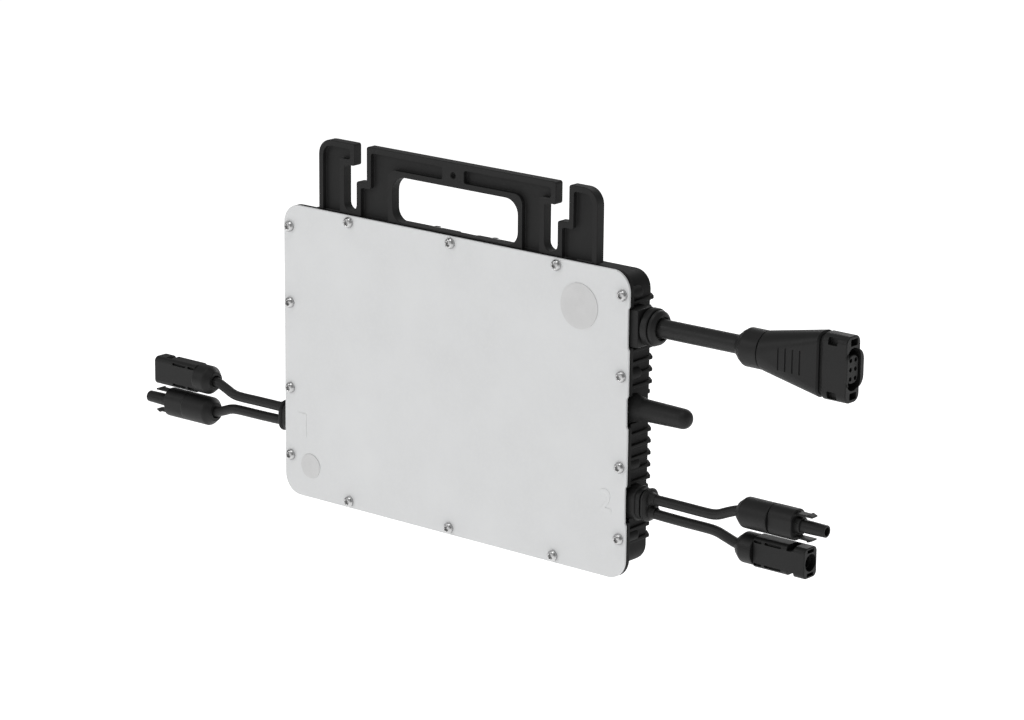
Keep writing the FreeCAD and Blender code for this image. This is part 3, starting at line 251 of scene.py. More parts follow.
# ---------------------------------------------------------------- building meshes

def rounded(corners, steps=6):
    """Points of an outline whose corners (a, b, r) are rounded by r; (a, b) stays sharp."""
    points = []
    count = len(corners)
    for index, corner in enumerate(corners):
        here = Vector(corner[:2])
        if len(corner) < 3 or corner[2] <= 0:
            points.append(here)
            continue
        back = (Vector(corners[index - 1][:2]) - here).normalized()
        ahead = (Vector(corners[(index + 1) % count][:2]) - here).normalized()
        half = back.angle(ahead) / 2
        reach = corner[2] / math.tan(half)
        centre = here + (back + ahead).normalized() * (corner[2] / math.sin(half))
        start, end = here + back * reach - centre, here + ahead * reach - centre
        sweep = start.angle(end)
        for step in range(steps + 1):
            part = step / steps
            weight_a = math.sin((1 - part) * sweep) / math.sin(sweep)
            weight_b = math.sin(part * sweep) / math.sin(sweep)
            points.append(centre + start * weight_a + end * weight_b)
    return points


def signed_area(points):
    """The area inside an outline, negative when it goes round clockwise."""
    return sum(a.x * b.y - b.x * a.y for a, b in zip(points, points[1:] + points[:1])) / 2


def ring_points(a, b, radius, count=40):
    """Points of a circle."""
    return [Vector((a + radius * math.cos(2 * math.pi * i / count),
                    b + radius * math.sin(2 * math.pi * i / count))) for i in range(count)]


def rectangle(a_low, a_high, b_low, b_high, radius=0.0):
    """Points of a rectangle with rounded corners."""
    return rounded([(a_low, b_low, radius), (a_high, b_low, radius), (a_high, b_high, radius),
                    (a_low, b_high, radius)])


# How a slab drawn flat is turned into each plane.
AXES = {
    "XZ": Matrix(((1, 0, 0, 0), (0, 0, -1, 0), (0, 1, 0, 0), (0, 0, 0, 1))),
    "XY": Matrix.Identity(4),
    "YZ": Matrix(((0, 0, 1, 0), (1, 0, 0, 0), (0, 1, 0, 0), (0, 0, 0, 1))),
}


def slab(outer, holes, plane, low, high, edge=0.4):
    """A plate between two depths across a plane, its rims rounded by edge."""
    curve = bpy.data.curves.new("slab", "CURVE")
    curve.dimensions = "2D"
    curve.fill_mode = "BOTH"
    curve.extrude = max((high - low) / 2 - edge, 0.0)
    curve.bevel_depth = edge
    curve.bevel_resolution = 2
    curve.offset = -edge
    for points, positive in [(outer, True)] + [(hole, False) for hole in holes]:
        if (signed_area(points) > 0) != positive:
            points = points[::-1]
        spline = curve.splines.new("POLY")
        spline.points.add(len(points) - 1)
        for target, point in zip(spline.points, points):
            target.co = (point.x, point.y, 0, 1)
        spline.use_cyclic_u = True
    holder = bpy.data.objects.new("slab", curve)
    mesh = bpy.data.meshes.new_from_object(holder)
    bm = bmesh.new()
    bm.from_mesh(mesh)
    bpy.data.objects.remove(holder)
    bpy.data.curves.remove(curve)
    bpy.data.meshes.remove(mesh)
    middle = (low + high) / 2
    bmesh.ops.translate(bm, vec=(0, 0, -middle if plane == "XZ" else middle), verts=bm.verts)
    bmesh.ops.transform(bm, matrix=AXES[plane], verts=bm.verts)
    bmesh.ops.remove_doubles(bm, verts=bm.verts, dist=0.0005)
    return bm


def lathe(profile, count=64, shape=None):
    """Revolve a closed profile of (distance along X, radius) corners about X."""
    points = rounded(profile, 4)
    bm = bmesh.new()
    rings = []
    for point in points:
        ring = []
        for index in range(count):
            angle = 2 * math.pi * index / count
            radius = max(point.y, 0.0)
            if shape:
                radius = shape(point.x, radius, angle)
            ring.append(bm.verts.new((point.x, radius * math.cos(angle),
                                      radius * math.sin(angle))))
        rings.append(ring)
    for ring, following in zip(rings, rings[1:] + rings[:1]):
        for index in range(count):
            after = (index + 1) % count
            bm.faces.new((ring[index], ring[after], following[after], following[index]))
    bmesh.ops.remove_doubles(bm, verts=bm.verts, dist=0.0008)
    drop_flat_faces(bm)
    bmesh.ops.recalc_face_normals(bm, faces=bm.faces)
    return bm


def drop_flat_faces(bm):
    """Remove faces without area, and doubled faces on the axis, left after merging points."""
    bmesh.ops.dissolve_degenerate(bm, dist=0.0005, edges=bm.edges)
    bmesh.ops.delete(bm, geom=[e for e in bm.edges if not e.link_faces], context="EDGES")
    bmesh.ops.delete(bm, geom=[v for v in bm.verts if not v.link_faces], context="VERTS")


def section(x, centre_y, centre_z, half_y, half_z, radius, steps=8):
    """A rounded rectangle across X, always with the same number of points."""
    radius = max(min(radius, half_y - 0.001, half_z - 0.001), 0.01)
    points = []
    for quarter in range(4):
        sign_y = (1, -1, -1, 1)[quarter]
        sign_z = (1, 1, -1, -1)[quarter]
        for step in range(steps + 1):
            angle = math.pi / 2 * (quarter + step / steps)
            points.append(Vector((
                x, centre_y + sign_y * (half_y - radius) + radius * math.cos(angle),
                centre_z + sign_z * (half_z - radius) + radius * math.sin(angle))))
    return points


def skin(sections):
    """A closed solid through sections with equal numbers of points."""
    bm = bmesh.new()
    rings = [[bm.verts.new(point) for point in points] for points in sections]
    count = len(rings[0])
    for ring, following in zip(rings, rings[1:]):
        for index in range(count):
            after = (index + 1) % count
            bm.faces.new((ring[index], ring[after], following[after], following[index]))
    bm.faces.new(rings[0][::-1])
    bm.faces.new(rings[-1])
    bmesh.ops.recalc_face_normals(bm, faces=bm.faces)
    return bm


def stepped(steps, centre_y=0.0, centre_z=0.0):
    """A solid through sections given as (x, half_y, half_z, radius)."""
    return skin([section(x, centre_y, centre_z, half_y, half_z, radius)
                 for x, half_y, half_z, radius in steps])


def eased(x_low, x_high, half_y, half_z, radius, edge=0.6):
    """One block across X with rounded end rims, as (x, half_y, half_z, radius) rows."""
    rows = []
    for step in range(4):
        angle = math.pi / 2 * step / 3
        inset = edge * (1 - math.sin(angle))
        rows.append((x_low + edge * (1 - math.cos(angle)), half_y - inset, half_z - inset,
                     max(radius - inset, 0.05)))
    mirrored = [(x_high - (row[0] - x_low),) + row[1:] for row in rows[::-1]]
    return rows + mirrored


def moved(bm, x, y, z, turn=0.0, axis="Z"):
    """Turn a mesh about an axis, then put it at cover coordinates."""
    matrix = Matrix.Translation((x, y, z)) @ Matrix.Rotation(math.radians(turn), 4, axis)
    bmesh.ops.transform(bm, matrix=matrix, verts=bm.verts)
    return bm


def joined(parts):
    """Several closed meshes as one."""
    result = bmesh.new()
    for part in parts:
        mesh = bpy.data.meshes.new("part")
        part.to_mesh(mesh)
        part.free()
        result.from_mesh(mesh)
        bpy.data.meshes.remove(mesh)
    return result


def bare_object(bm):
    """A passing object that a boolean works on."""
    mesh = bpy.data.meshes.new("tool")
    bm.to_mesh(mesh)
    bm.free()
    item = bpy.data.objects.new("tool", mesh)
    bpy.context.scene.collection.objects.link(item)
    return item


def combined(base, tools, operation="DIFFERENCE"):
    """Cut closed meshes out of a mesh, or add them to it."""
    target = bare_object(base)
    helpers = []
    for tool in tools:
        helper = bare_object(tool)
        modifier = target.modifiers.new("cut", "BOOLEAN")
        modifier.operation = operation
        modifier.solver = "EXACT"
        modifier.object = helper
        helpers.append(helper)
    graph = bpy.context.evaluated_depsgraph_get()
    mesh = bpy.data.meshes.new_from_object(target.evaluated_get(graph))
    bm = bmesh.new()
    bm.from_mesh(mesh)
    bpy.data.meshes.remove(mesh)
    for item in helpers + [target]:
        bpy.data.objects.remove(item)
    return bm


def piece(name, bm, material, replaces=(), body="inverter", bevel=0.0, sharp=32.0):
    """Make a finished piece that rides on a body and stands for CAD nodes."""
    bmesh.ops.translate(bm, vec=-DATUM, verts=bm.verts)
    bmesh.ops.scale(bm, vec=(MM, MM, MM), verts=bm.verts)
    mesh = bpy.data.meshes.new(name)
    bm.to_mesh(mesh)
    bm.free()
    mesh.shade_smooth()
    mesh.set_sharp_from_angle(angle=math.radians(sharp))
    mesh.materials.append(MATERIALS[material])
    item = bpy.data.objects.new(name, mesh)
    bpy.context.scene.collection.objects.link(item)
    if bevel > 0.0:
        rounding = item.modifiers.new("rounding", "BEVEL")
        rounding.width = bevel * MM
        rounding.segments = 2
        rounding.limit_method = "ANGLE"
        rounding.angle_limit = math.radians(38)
        rounding.loop_slide = False
        rounding.harden_normals = False
    normals = item.modifiers.new("normals", "WEIGHTED_NORMAL")
    normals.keep_sharp = True
    normals.weight = 80
    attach(item, body)
    if replaces:
        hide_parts(*replaces)
    return item


# ---------------------------------------------------------------- cords

def cord(node, diameter, route, depth):
    """One cord close to the CAD's route."""
    curve = bpy.data.curves.new(node + "_cord", "CURVE")
    curve.dimensions = "3D"
    spline = curve.splines.new("NURBS")
    spline.points.add(len(route) - 1)
    for target, (x, z) in zip(spline.points, route):
        target.co = (*at(x, depth, z), 1)
    spline.order_u = 3
    spline.use_endpoint_u = True
    spline.resolution_u = 16
    curve.bevel_depth = diameter / 2 * MM
    curve.bevel_resolution = 10
    curve.use_fill_caps = True
    curve.materials.append(MATERIALS["cable_jacket"])
    item = bpy.data.objects.new(node + "_cord", curve)
    bpy.context.scene.collection.objects.link(item)
    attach(item, "inverter")
    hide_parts(node)
    return item


ROUTES = {
    "ac_cable": [(120.5, 147.6), (142.0, 147.75), (162.0, 147.8), (182.0, 147.95),
                 (203.0, 148.0)],
    "right_upper_lead": [(117.5, 48.45), (134.0, 48.45), (150.0, 48.5), (166.0, 48.35),
                         (176.5, 48.2), (185.5, 48.3), (193.0, 51.6), (200.5, 54.5),
                         (207.5, 54.6), (214.0, 54.62)],
    "right_lower_lead": [(117.5, 40.75), (134.0, 40.5), (150.0, 39.9), (166.0, 39.6),
                         (177.0, 39.6), (186.0, 39.4), (193.2, 37.1), (200.5, 34.8),
                         (207.5, 34.6), (214.0, 34.58)],
    "left_upper_lead": [(-117.5, 48.45), (-134.0, 48.4), (-150.0, 48.4), (-166.0, 48.3),
                        (-175.5, 48.1), (-183.5, 48.3), (-190.5, 51.4), (-197.5, 54.0),
                        (-204.5, 54.2), (-211.0, 54.22)],
    "left_lower_lead": [(-117.5, 40.75), (-134.0, 40.4), (-150.0, 39.9), (-166.0, 39.7),
                        (-176.5, 39.7), (-185.3, 39.4), (-192.0, 36.8), (-199.0, 34.4),
                        (-205.5, 34.2), (-211.5, 34.18)],
}


# ---------------------------------------------------------------- cover and screws

SCREWS = ([(sign * 125.8, z) for sign in (-1, 1) for z in (24.2, 66.4, 119.4, 166.2)]
          + [(x, z) for z in (4.2, HEIGHT - 4.2) for x in (-78.5, 0.0, 78.5)])
SEALS = (("fill_port", 95.1, 154.9, 13.3, 9.0), ("vent_port", -109.8, 20.0, 7.6, 4.5))
DC_Y, DC_Z = 11.0, 44.6
AC_Y, AC_Z = 13.5, 147.6
ANTENNA_Y, ANTENNA_Z = 12.0, 99.0


def edge_notches(x, inward, spans):
    """Corners of shallow bays in the cover's right edge, going up."""
    corners = []
    for low, high in spans:
        corners += [(x, low - 1.2, 1.2), (x - inward, low + 0.6, 1.2),
                    (x - inward, high - 0.6, 1.2), (x, high + 1.2, 1.2)]
    return corners


def cover_parts():
    """Cover sheet, its gasket and the two discs that close its ports."""
    right, corner = WIDTH / 2, COVER_CORNER
    spans = ((DC_Z - 10.7, DC_Z + 10.7), (ANTENNA_Z - 8.5, ANTENNA_Z + 8.5),
             (AC_Z - 11.5, AC_Z + 11.5))
    outline = rounded([(-right, 0, corner), (right, 0, corner)]
                      + edge_notches(right, 0.9, spans)
                      + [(right, HEIGHT, corner), (-right, HEIGHT, corner)], 10)
    holes = [ring_points(x, z, 2.2, 24) for x, z in SCREWS]
    holes += [ring_points(x, z, radius) for _, x, z, _, radius in SEALS]
    piece("cover_sheet", slab(outline, holes, "XZ", 0.0, COVER_SHEET, 0.4), "cover_paint",
          ["front_cover"])
    inner = rectangle(*CAVITY)
    outer = rectangle(-129.5, 129.5, 1, 179, 11)
    ring = slab(outer, [inner] + holes[:len(SCREWS)], "XZ", COVER_SHEET, FLANGE_FRONT, 0.1)
    piece("gasket_ring", ring, "gasket_rubber", ["cover_gasket"])
    for name, x, z, radius, _ in SEALS:
        profile = [(-0.4, 0), (0, 0), (0, radius), (-0.4, radius, 0.15)]
        piece(name + "_disc", moved(lathe(profile, 96), x, 0, z, 90), "seal_film",
              [name + "_seal"])


def star(radius, points=6, depth=0.16):
    """A lobed radius for a screw's drive recess."""
    def shape(x, r, angle):
        if r > radius + 0.01 or x > -0.5 or r < 0.2:
            return r
        return r * (1 + depth * math.cos(points * angle))
    return shape


def pan_head():
    """A domed screw head with a lobed recess, and its shank."""
    profile = [(-1.3, 0), (-1.3, 1.45), (-2.45, 1.55), (-2.6, 1.75, 0.05), (-2.35, 2.6, 0.8),
               (-1.1, 3.25, 0.9), (0, 3.25, 0.15), (0, 1.85), (11, 1.85), (11, 0)]
    return lathe(profile, 48, star(1.6))


def screws():
    """The cover's screws, each turned its own way, and the bracket's."""
    heads = []
    for x, z in SCREWS:
        head = pan_head()
        moved(head, 0, 0, 0, random.uniform(0, 60), "X")
        heads.append(moved(head, x, 0, z, 90))
    piece("cover_screw_set", joined(heads), "screw_steel", ["cover_screws"], sharp=40)
    studs = []
    for x in (-58.0, -22.0, 22.0, 58.0):
        profile = [(-0.5, 0), (-0.5, 1.3), (-1.3, 1.4), (-1.4, 1.6), (-1.1, 2.9, 0.6),
                   (0, 3.4, 0.3), (0, 1.9), (6.2, 1.9), (6.2, 0)]
        studs.append(moved(lathe(profile, 40, star(1.45)), x, 13.6, FOOT_HIGH, 90, "Y"))
    piece("bracket_screw_set", joined(studs), "screw_steel", ["bracket_screws"], sharp=40)


def input_number(text, x_low, x_high, z_low, z_high):
    """A raised plain number beside each pair of inputs."""
    curve = bpy.data.curves.new("number", "FONT")
    curve.body = text
    curve.extrude = 0.02
    curve.offset = 0.006
    curve.bevel_depth = 0.012
    curve.bevel_resolution = 1
    holder = bpy.data.objects.new("number", curve)
    mesh = bpy.data.meshes.new_from_object(holder)
    bm = bmesh.new()
    bm.from_mesh(mesh)
    bpy.data.objects.remove(holder)
    bpy.data.meshes.remove(mesh)
    bmesh.ops.remove_doubles(bm, verts=bm.verts, dist=0.0001)
    lows = [min(v.co[i] for v in bm.verts) for i in range(3)]
    highs = [max(v.co[i] for v in bm.verts) for i in range(3)]
    for v in bm.verts:
        a, b, c = ((v.co[i] - lows[i]) / (highs[i] - lows[i]) for i in range(3))
        v.co = (x_low + a * (x_high - x_low), 0.05 - 0.3 * c, z_low + b * (z_high - z_low))
    bmesh.ops.recalc_face_normals(bm, faces=bm.faces)
    piece("input_number_" + text, bm, "cover_paint")


# ---------------------------------------------------------------- housing and bracket

# Half heights of the bays for the glands and the antenna, and of the gaps in the ribs there.
# The gap beside the grid cable's gland is narrower than the CAD's, so one more rib shows there.
BAYS = {1: ((DC_Z, 10.3), (ANTENNA_Z, 8.9), (AC_Z, 11.4)), -1: ((DC_Z, 10.3),)}
RIB_GAPS = {1: ((DC_Z, 11.3), (ANTENNA_Z, 10.5), (AC_Z, 12.6)), -1: ((DC_Z, 11.3),)}


def fin(z):
    """One cooling fin: a rib down both side walls and a raised crest across the back."""
    inner, side, cut, back = SIDE_WALL - 1.2, SIDE_WALL + 3, SIDE_WALL - 0.2, 24.4
    halves = {}
    for sign in (1, -1):
        if any(abs(z - centre) < half for centre, half in RIB_GAPS[sign]):
            path = [(inner, back), (cut, back), (cut, 27.4, 0.5)]
        else:
            path = [(inner, back), (inner, 5.0), (side, 5.0, 0.9), (side, 25.2, 2.0)]
        path += [(123.5, 29.6, 2.5), (98.0, 32.6, 8)]
        halves[sign] = [(sign * corner[0],) + corner[1:] for corner in path]
    return slab(rounded(halves[1] + halves[-1][::-1], 4), [], "XY", z - FIN_SHEET / 2,
                z + FIN_SHEET / 2, 0.45)


def bay_corners(sign):
    """Corners of one side's bays in the flange, going up on the right and down on the left."""
    right, corners = WIDTH / 2, []
    for centre, half in BAYS[sign]:
        low, high = centre - sign * half, centre + sign * half
        corners += [(sign * right, low, 0.6), (sign * SIDE_WALL, low),
                    (sign * SIDE_WALL, high), (sign * right, high, 0.6)]
    return corners


def casing_cuts():
    """The bays that hold glands and antenna, and the flat under the bracket's feet."""
    flat = rectangle(-FOOT_OUTER - 0.8, FOOT_OUTER + 0.8, HEIGHT - 5, HEIGHT + 5)
    cuts = [slab(flat, [], "XZ", FLANGE_BACK, 40, 0.0)]
    for sign in (1, -1):
        low, high = sorted((sign * SIDE_WALL, sign * (SIDE_WALL + 10)))
        for centre, half in BAYS[sign]:
            bay = rectangle(low, high, centre - half, centre + half)
            cuts.append(slab(bay, [], "XZ", -1, 40, 0.0))
    return cuts


def housing_parts():
    """The casting: flange, hollow box with its mouth's collar, fins and screw bosses."""
    right, corner = WIDTH / 2, COVER_CORNER
    outline = rounded([(-right, 0, corner), (right, 0, corner)] + bay_corners(1)
                      + [(right, HEIGHT, corner), (-right, HEIGHT, corner)]
                      + bay_corners(-1), 10)
    inner = rectangle(*CAVITY)
    flange = slab(outline, [inner], "XZ", FLANGE_FRONT, FLANGE_BACK, 0.35)
    box = rectangle(-CASING, CASING, CASING_LOW, CASING_TOP, CASING_CORNER)
    shell = slab(box, [], "XZ", 2.4, CASING_BACK, 2.2)
    shell = combined(shell, [slab(inner, [], "XZ", -5, CASING_BACK - 3, 0.5)] + casing_cuts())
    collar = combined(slab(box, [inner], "XZ", 2.2, 8.0, 0.2), casing_cuts())
    fins = [fin(FIN_FIRST + FIN_PITCH * index) for index in range(FIN_COUNT)]
    lugs = []
    for x, z in SCREWS:
        profile = [(2.2, 2.0), (13.0, 2.0), (14.5, 1.2), (14.5, 3.7, 1.0), (2.2, 3.7)]
        lugs.append(moved(lathe(profile, 32), x, 0, z, 90))
    piece("cast_housing", joined([flange, shell, collar] + fins + lugs), "casting", ["housing"],
          sharp=35)


def web_outline():
    """The bracket's outline from the front, going round anticlockwise."""
    half, top, floor, roof = 4.7, WEB_TOP, 201.0, 209.6
    low = HEIGHT + 0.1
    corners = [(WEB_LEFT, low), (WEB_RIGHT, low), (WEB_RIGHT, top, 9.5)]
    for seat in SLOT_SEATS[::-1]:
        entry = seat + SLOT_SHIFT
        corners += [(entry + half, top, 1.5), (entry + half, floor, 1.5),
                    (seat + half, floor, 1.5), (seat + half, 182.3, half - 0.02),
                    (seat - half, 182.3, half - 0.02), (seat - half, roof, 1.5),
                    (entry - half, roof, 1.5), (entry - half, top, 1.5)]
    corners.append((WEB_LEFT, top, 9.5))
    return rounded(corners, 8)


def web_pockets():
    """The recessed panels in the bracket's front."""
    left, right = SLOT_SEATS
    edge, tip = 8.1, -0.1
    entry = edge + SLOT_SHIFT
    low, high, under, over, beam = 176.0, 219.4, 197.6, 213.0, 211.6
    left_lobe = [(-100.6, low), (left - edge, low), (left - edge, over, 1.6),
                 (left + tip, over, 1.6), (left + tip, high, 1.6), (-100.6, high, 6.1)]
    right_lobe = [(right + edge, low), (102.1, low), (102.1, high, 6.1),
                  (right + entry, high, 1.6), (right + entry, under, 1.6),
                  (right + edge, under, 1.6)]
    left_beam = [(left + edge, low), (-49.6, low), (-49.6, beam, 6), (-8, beam, 1.6),
                 (-8, high, 1.6), (left + entry, high, 1.6), (left + entry, under, 1.6),
                 (left + edge, under, 1.6)]
    right_beam = [(51.4, low), (right - edge, low), (right - edge, over, 1.6),
                  (right + tip, over, 1.6), (right + tip, high, 1.6), (8, high, 1.6),
                  (8, beam, 1.6), (51.4, beam, 6)]
    return [rounded(corners, 5) for corners in (left_lobe, right_lobe, left_beam, right_beam)]


def bracket_parts():
    """The slotted web with its grip and recessed panels, and the two feet behind it."""
    grip = rounded([(-46.2, 181.2, 8), (48, 181.2, 8), (48, 208.2, 9), (-46.2, 208.2, 9)], 8)
    hole = ring_points(0, TIE_HOLE_Z, TIE_HOLE_RADIUS, 28)
    web = slab(web_outline(), [grip, hole], "XZ", WEB_FRONT, WEB_BACK, 0.5)
    web = combined(web, [slab(pocket, [], "XZ", -2.0, 5.0, 0.4) for pocket in web_pockets()])
    feet = []
    for low, high in ((-FOOT_OUTER, -FOOT_INNER), (FOOT_INNER, FOOT_OUTER)):
        root = rectangle(low, high, FOOT_LOW, HEIGHT + 1, 0.5)
        feet.append(slab(root, [], "XZ", FLANGE_BACK + 0.2, WEB_BACK - 0.4, 0.3))
        foot = rounded([(low, 7.0), (high, 7.0), (high, 18.0, 2.5), (low, 18.0, 2.5)])
        feet.append(slab(foot, [], "XY", FOOT_LOW, FOOT_HIGH, 0.4))
    piece("hanging_bracket", joined([web] + feet), "bracket_metal", ["mounting_bracket"],
          bevel=0.35, sharp=35)


# ---------------------------------------------------------------- glands and antenna

def ac_gland_parts():
    """The grid cable's gland: a bevelled block, a ringed neck and the coned nut."""
    half, bevel = 11.0, 8.5
    corners = [(-half, -half, 1), (half - bevel, -half, 2), (half, -half + bevel, 2),
               (half, half - bevel, 2), (half - bevel, half, 2), (-half, half, 1)]
    block = slab(rounded(corners), [], "YZ", 0.0, 9.2, 0.6)
    profile = [(-8, 5.55), (6, 5.55), (6, 7), (15, 7), (15, 8.4), (14.5, 8.4),
               (14.5, 10.9, 0.8), (9.9, 10.9, 0.8), (9.9, 9.4), (0, 9.4), (0, 8),
               (-8, 8)]
    neck = lathe(profile, 72)
    body = joined([block, neck])
    piece("ac_gland_base", moved(body, SIDE_WALL, AC_Y, AC_Z), "gland_plastic",
          ["ac_gland_body"])
    nut = [(15.2, 5.7), (17, 5.7), (17, 6.8), (18.6, 6.8, 0.2), (18.6, 7.8, 0.4),
           (16.9, 9.7, 1.0), (15.2, 10.3, 0.3)]
    piece("ac_gland_cap", moved(lathe(nut, 72), SIDE_WALL, AC_Y, AC_Z), "gland_plastic",
          ["ac_gland_nut"])


def dc_gland_part(side):
    """An oblong gland in three steps, with a short boot on each lead."""
    turn, wall = (0, SIDE_WALL) if side == "right" else (180, -SIDE_WALL)
    rows = []
    for low, high, half_y, half_z, radius, edge in (
            (0.0, 8.4, 8.0, 9.9, 6.5, 0.9), (8.5, 11.3, 7.1, 9.0, 5.6, 0.3),
            (11.4, 15.4, 7.6, 9.5, 6.1, 2.4)):
        rows += eased(low, high, half_y, half_z, radius, edge)
    body = stepped(rows)
    boots = []
    for rise in (-3.85, 3.85):
        profile = [(12, 3.05), (18.6, 3.05), (18.6, 3.3, 0.1), (16.6, 3.6, 2.0), (15.0, 4.4),
                   (12, 4.4)]
        boots.append(moved(lathe(profile, 40), 0, 0, rise))
    piece(side + "_pv_gland", moved(joined([body] + boots), wall, DC_Y, DC_Z, turn),
          "gland_plastic", [side + "_dc_gland"])


def antenna_part():
    """The stub antenna's sheath, hollow inside."""
    profile = [(0.8, 1.3), (32, 1.3), (32, 0), (40.4, 0), (40.4, 5.7, 5.3), (8.5, 6.4, 12),
               (3.4, 7.6, 2.4), (0.8, 8.4, 0.4)]
    points = rounded(profile, 8)
    bm = lathe([tuple(p) for p in points], 72)
    piece("antenna_stub", moved(bm, SIDE_WALL, ANTENNA_Y, ANTENNA_Z), "antenna_rubber",
          ["antenna_sheath"])


# ---------------------------------------------------------------- grid plug

PLUG_X, PLUG_Z, THROAT_Y = 194.5, 148.0, 12.3


def plug_nut():
    """The grid plug's cable nut."""
    profile = [(3.0, 5.55), (6.6, 5.55), (6.6, 9.3), (20.6, 9.3), (20.6, 11, 0.5),
               (9.2, 11, 2.2), (3.0, 6.4, 0.5)]
    bm = lathe(profile, 96)
    piece("plug_cable_nut", moved(bm, PLUG_X, AC_Y, PLUG_Z), "connector_plastic",
          ["ac_plug_nut"])


def plug_body():
    """The flared body: round at the nut, a tall flat oblong at the head, with finger grooves."""
    flare_start, flare, steps = 21.4, 38.2, 24
    sections = [section(12.0, 0, 0, 9.0, 9.0, 8.8), section(21.0, 0, 0, 9.0, 9.0, 8.8),
                section(21.0, 0, 0, 10.7, 10.7, 10.5)]
    for step in range(steps + 1):
        part = step / steps
        sections.append(section(flare_start + flare * part, -1.2 * part, 0, 11.2 - 3.0 * part,
                                11.2 + 7.2 * part, 11.0 - 4.8 * part))
    sections += [section(60.4, -1.2, 0, 7.1, 17.3, 5.2), section(60.4, -1.2, 0, 5.8, 16.8, 4),
                 section(62.6, -1.2, 0, 5.8, 16.8, 4)]
    grooves = []
    for sign in (-1, 1):
        for x in (35.4, 40.0, 44.6, 49.2):
            part = (x - flare_start) / flare
            face = -1.2 * part + sign * (11.2 - 3.0 * part)
            grooves.append(slab(rectangle(x - 0.5, x + 0.5, -6.2 - part, 6.2 + part, 0.49), [],
                                "XZ", face - 0.6, face + 0.6, 0.2))
    bm = combined(skin(sections), grooves)
    piece("plug_shell", moved(bm, PLUG_X, AC_Y, PLUG_Z), "connector_plastic",
          ["ac_plug_body"], sharp=35)


def plug_head():
    """The front block: flat shoulders, a bulged middle, latch windows and an open cavity."""
    block = stepped(eased(62.4, 78.2, 6.6, 18.6, 4.5, 0.7))
    bulge = stepped(eased(62.4, 79.0, 8.0, 11.0, 6.5, 0.4), 1.3)
    tools = [stepped([(64.4, 5.8, 12.0, 5.6), (82, 5.8, 12.0, 5.6)], 0.3)]
    for sign in (-1, 1):
        tools.append(stepped([(73.2, 3.2, 1.9, 0.6), (82, 3.2, 1.9, 0.6)], 0.6, sign * 14.9))
        window = slab(rectangle(66.0, 72.2, sign * 15.0 - 2.1, sign * 15.0 + 2.1, 0.8), [],
                      "XZ", -9.0, -3.6, 0.2)
        tools.append(window)
    head = combined(block, [bulge], "UNION")
    head = combined(head, tools)
    piece("plug_front", moved(head, PLUG_X, 12.0, PLUG_Z), "connector_plastic",
          ["ac_plug_head"], bevel=0.25, sharp=35)


def plug_insert():
    """The contact block, nearly flush with the mouth, and the contacts down its holes."""
    base = stepped([(64.7, 5.5, 11.7, 5.3), (72.0, 5.5, 11.7, 5.3), (72.0, 4.9, 7.9, 4.3),
                    (77.6, 4.9, 7.9, 4.3), (78.0, 4.5, 7.5, 3.9)])
    well = [(64.0, 0), (79, 0), (79, 1.25), (64.0, 1.25)]
    pin = [(64.8, 0), (73.0, 0), (73.0, 0.7), (75.2, 0.7), (75.2, 1.1, 0.2), (64.8, 1.1)]
    wells, pins = [], []
    for y in (-2.3, 2.3):
        for z in (-5.1, 0.0, 5.1):
            wells.append(moved(lathe(well, 32), 0, y, z))
            pins.append(moved(lathe(pin, 24), PLUG_X, THROAT_Y + y, PLUG_Z + z))
    block = combined(base, wells)
    piece("plug_contact_block", moved(block, PLUG_X, THROAT_Y, PLUG_Z), "connector_plastic",
          ["ac_plug_insert"], bevel=0.1, sharp=35)
    piece("plug_contact_set", joined(pins), "contact_metal", ["ac_plug_contacts"])


# ---------------------------------------------------------------- PV connectors

CONNECTORS = (("right", "male", 199.9, 54.6, 0), ("right", "female", 199.9, 34.6, 0),
              ("left", "male", -196.5, 34.2, 180), ("left", "female", -196.5, 54.2, 180))


def connector_nut(side, kind, x, z, turn):
    """The coned nut at a PV connector's cable end."""
    end = 25.1 if kind == "male" else 15.3
    profile = [(2.6, 3.7), (5.2, 3.15), (6.8, 3.15), (6.8, 6), (end, 6), (end, 8.75, 0.15),
               (end - 0.6, 8.9, 0.3), (6.8, 8.9, 2.4), (2.6, 5.6, 0.8)]
    piece("%s_%s_cap" % (side, kind), moved(lathe(profile, 80), x, DC_Y, z, turn),
          "connector_plastic", ["%s_%s_nut" % (side, kind)])


def male_parts(side, x, z, turn):
    """A PV plug: its body with a hollow nose, and the pin inside."""
    profile = [(12.5, 3.25), (20, 3.25), (20, 2.4), (60.2, 2.4), (60.2, 3.5, 0.4),
               (50.0, 3.75), (44.6, 3.75), (44.6, 4.8, 0.3), (40.0, 4.8), (40.0, 5.7),
               (12.5, 5.7)]
    core = lathe(profile, 72)
    shell = stepped(eased(25.3, 41.2, 7.2, 8.9, 6.6, 0.5))
    shell = combined(shell, [lathe([(24, 0), (40, 0), (40, 5.6), (24, 5.6)], 48),
                             lathe([(38, 0), (44, 0), (44, 4.7), (38, 4.7)], 48)])
    piece(side + "_male_shell", moved(joined([core, shell]), x, DC_Y, z, turn),
          "connector_plastic", [side + "_male_body"])
    pin = [(18.4, 0), (56.2, 0), (56.2, 1.9, 1.2), (18.4, 1.9)]
    piece(side + "_male_contact_pin", moved(lathe(pin, 32), x, DC_Y, z, turn), "contact_metal",
          [side + "_male_pin"])


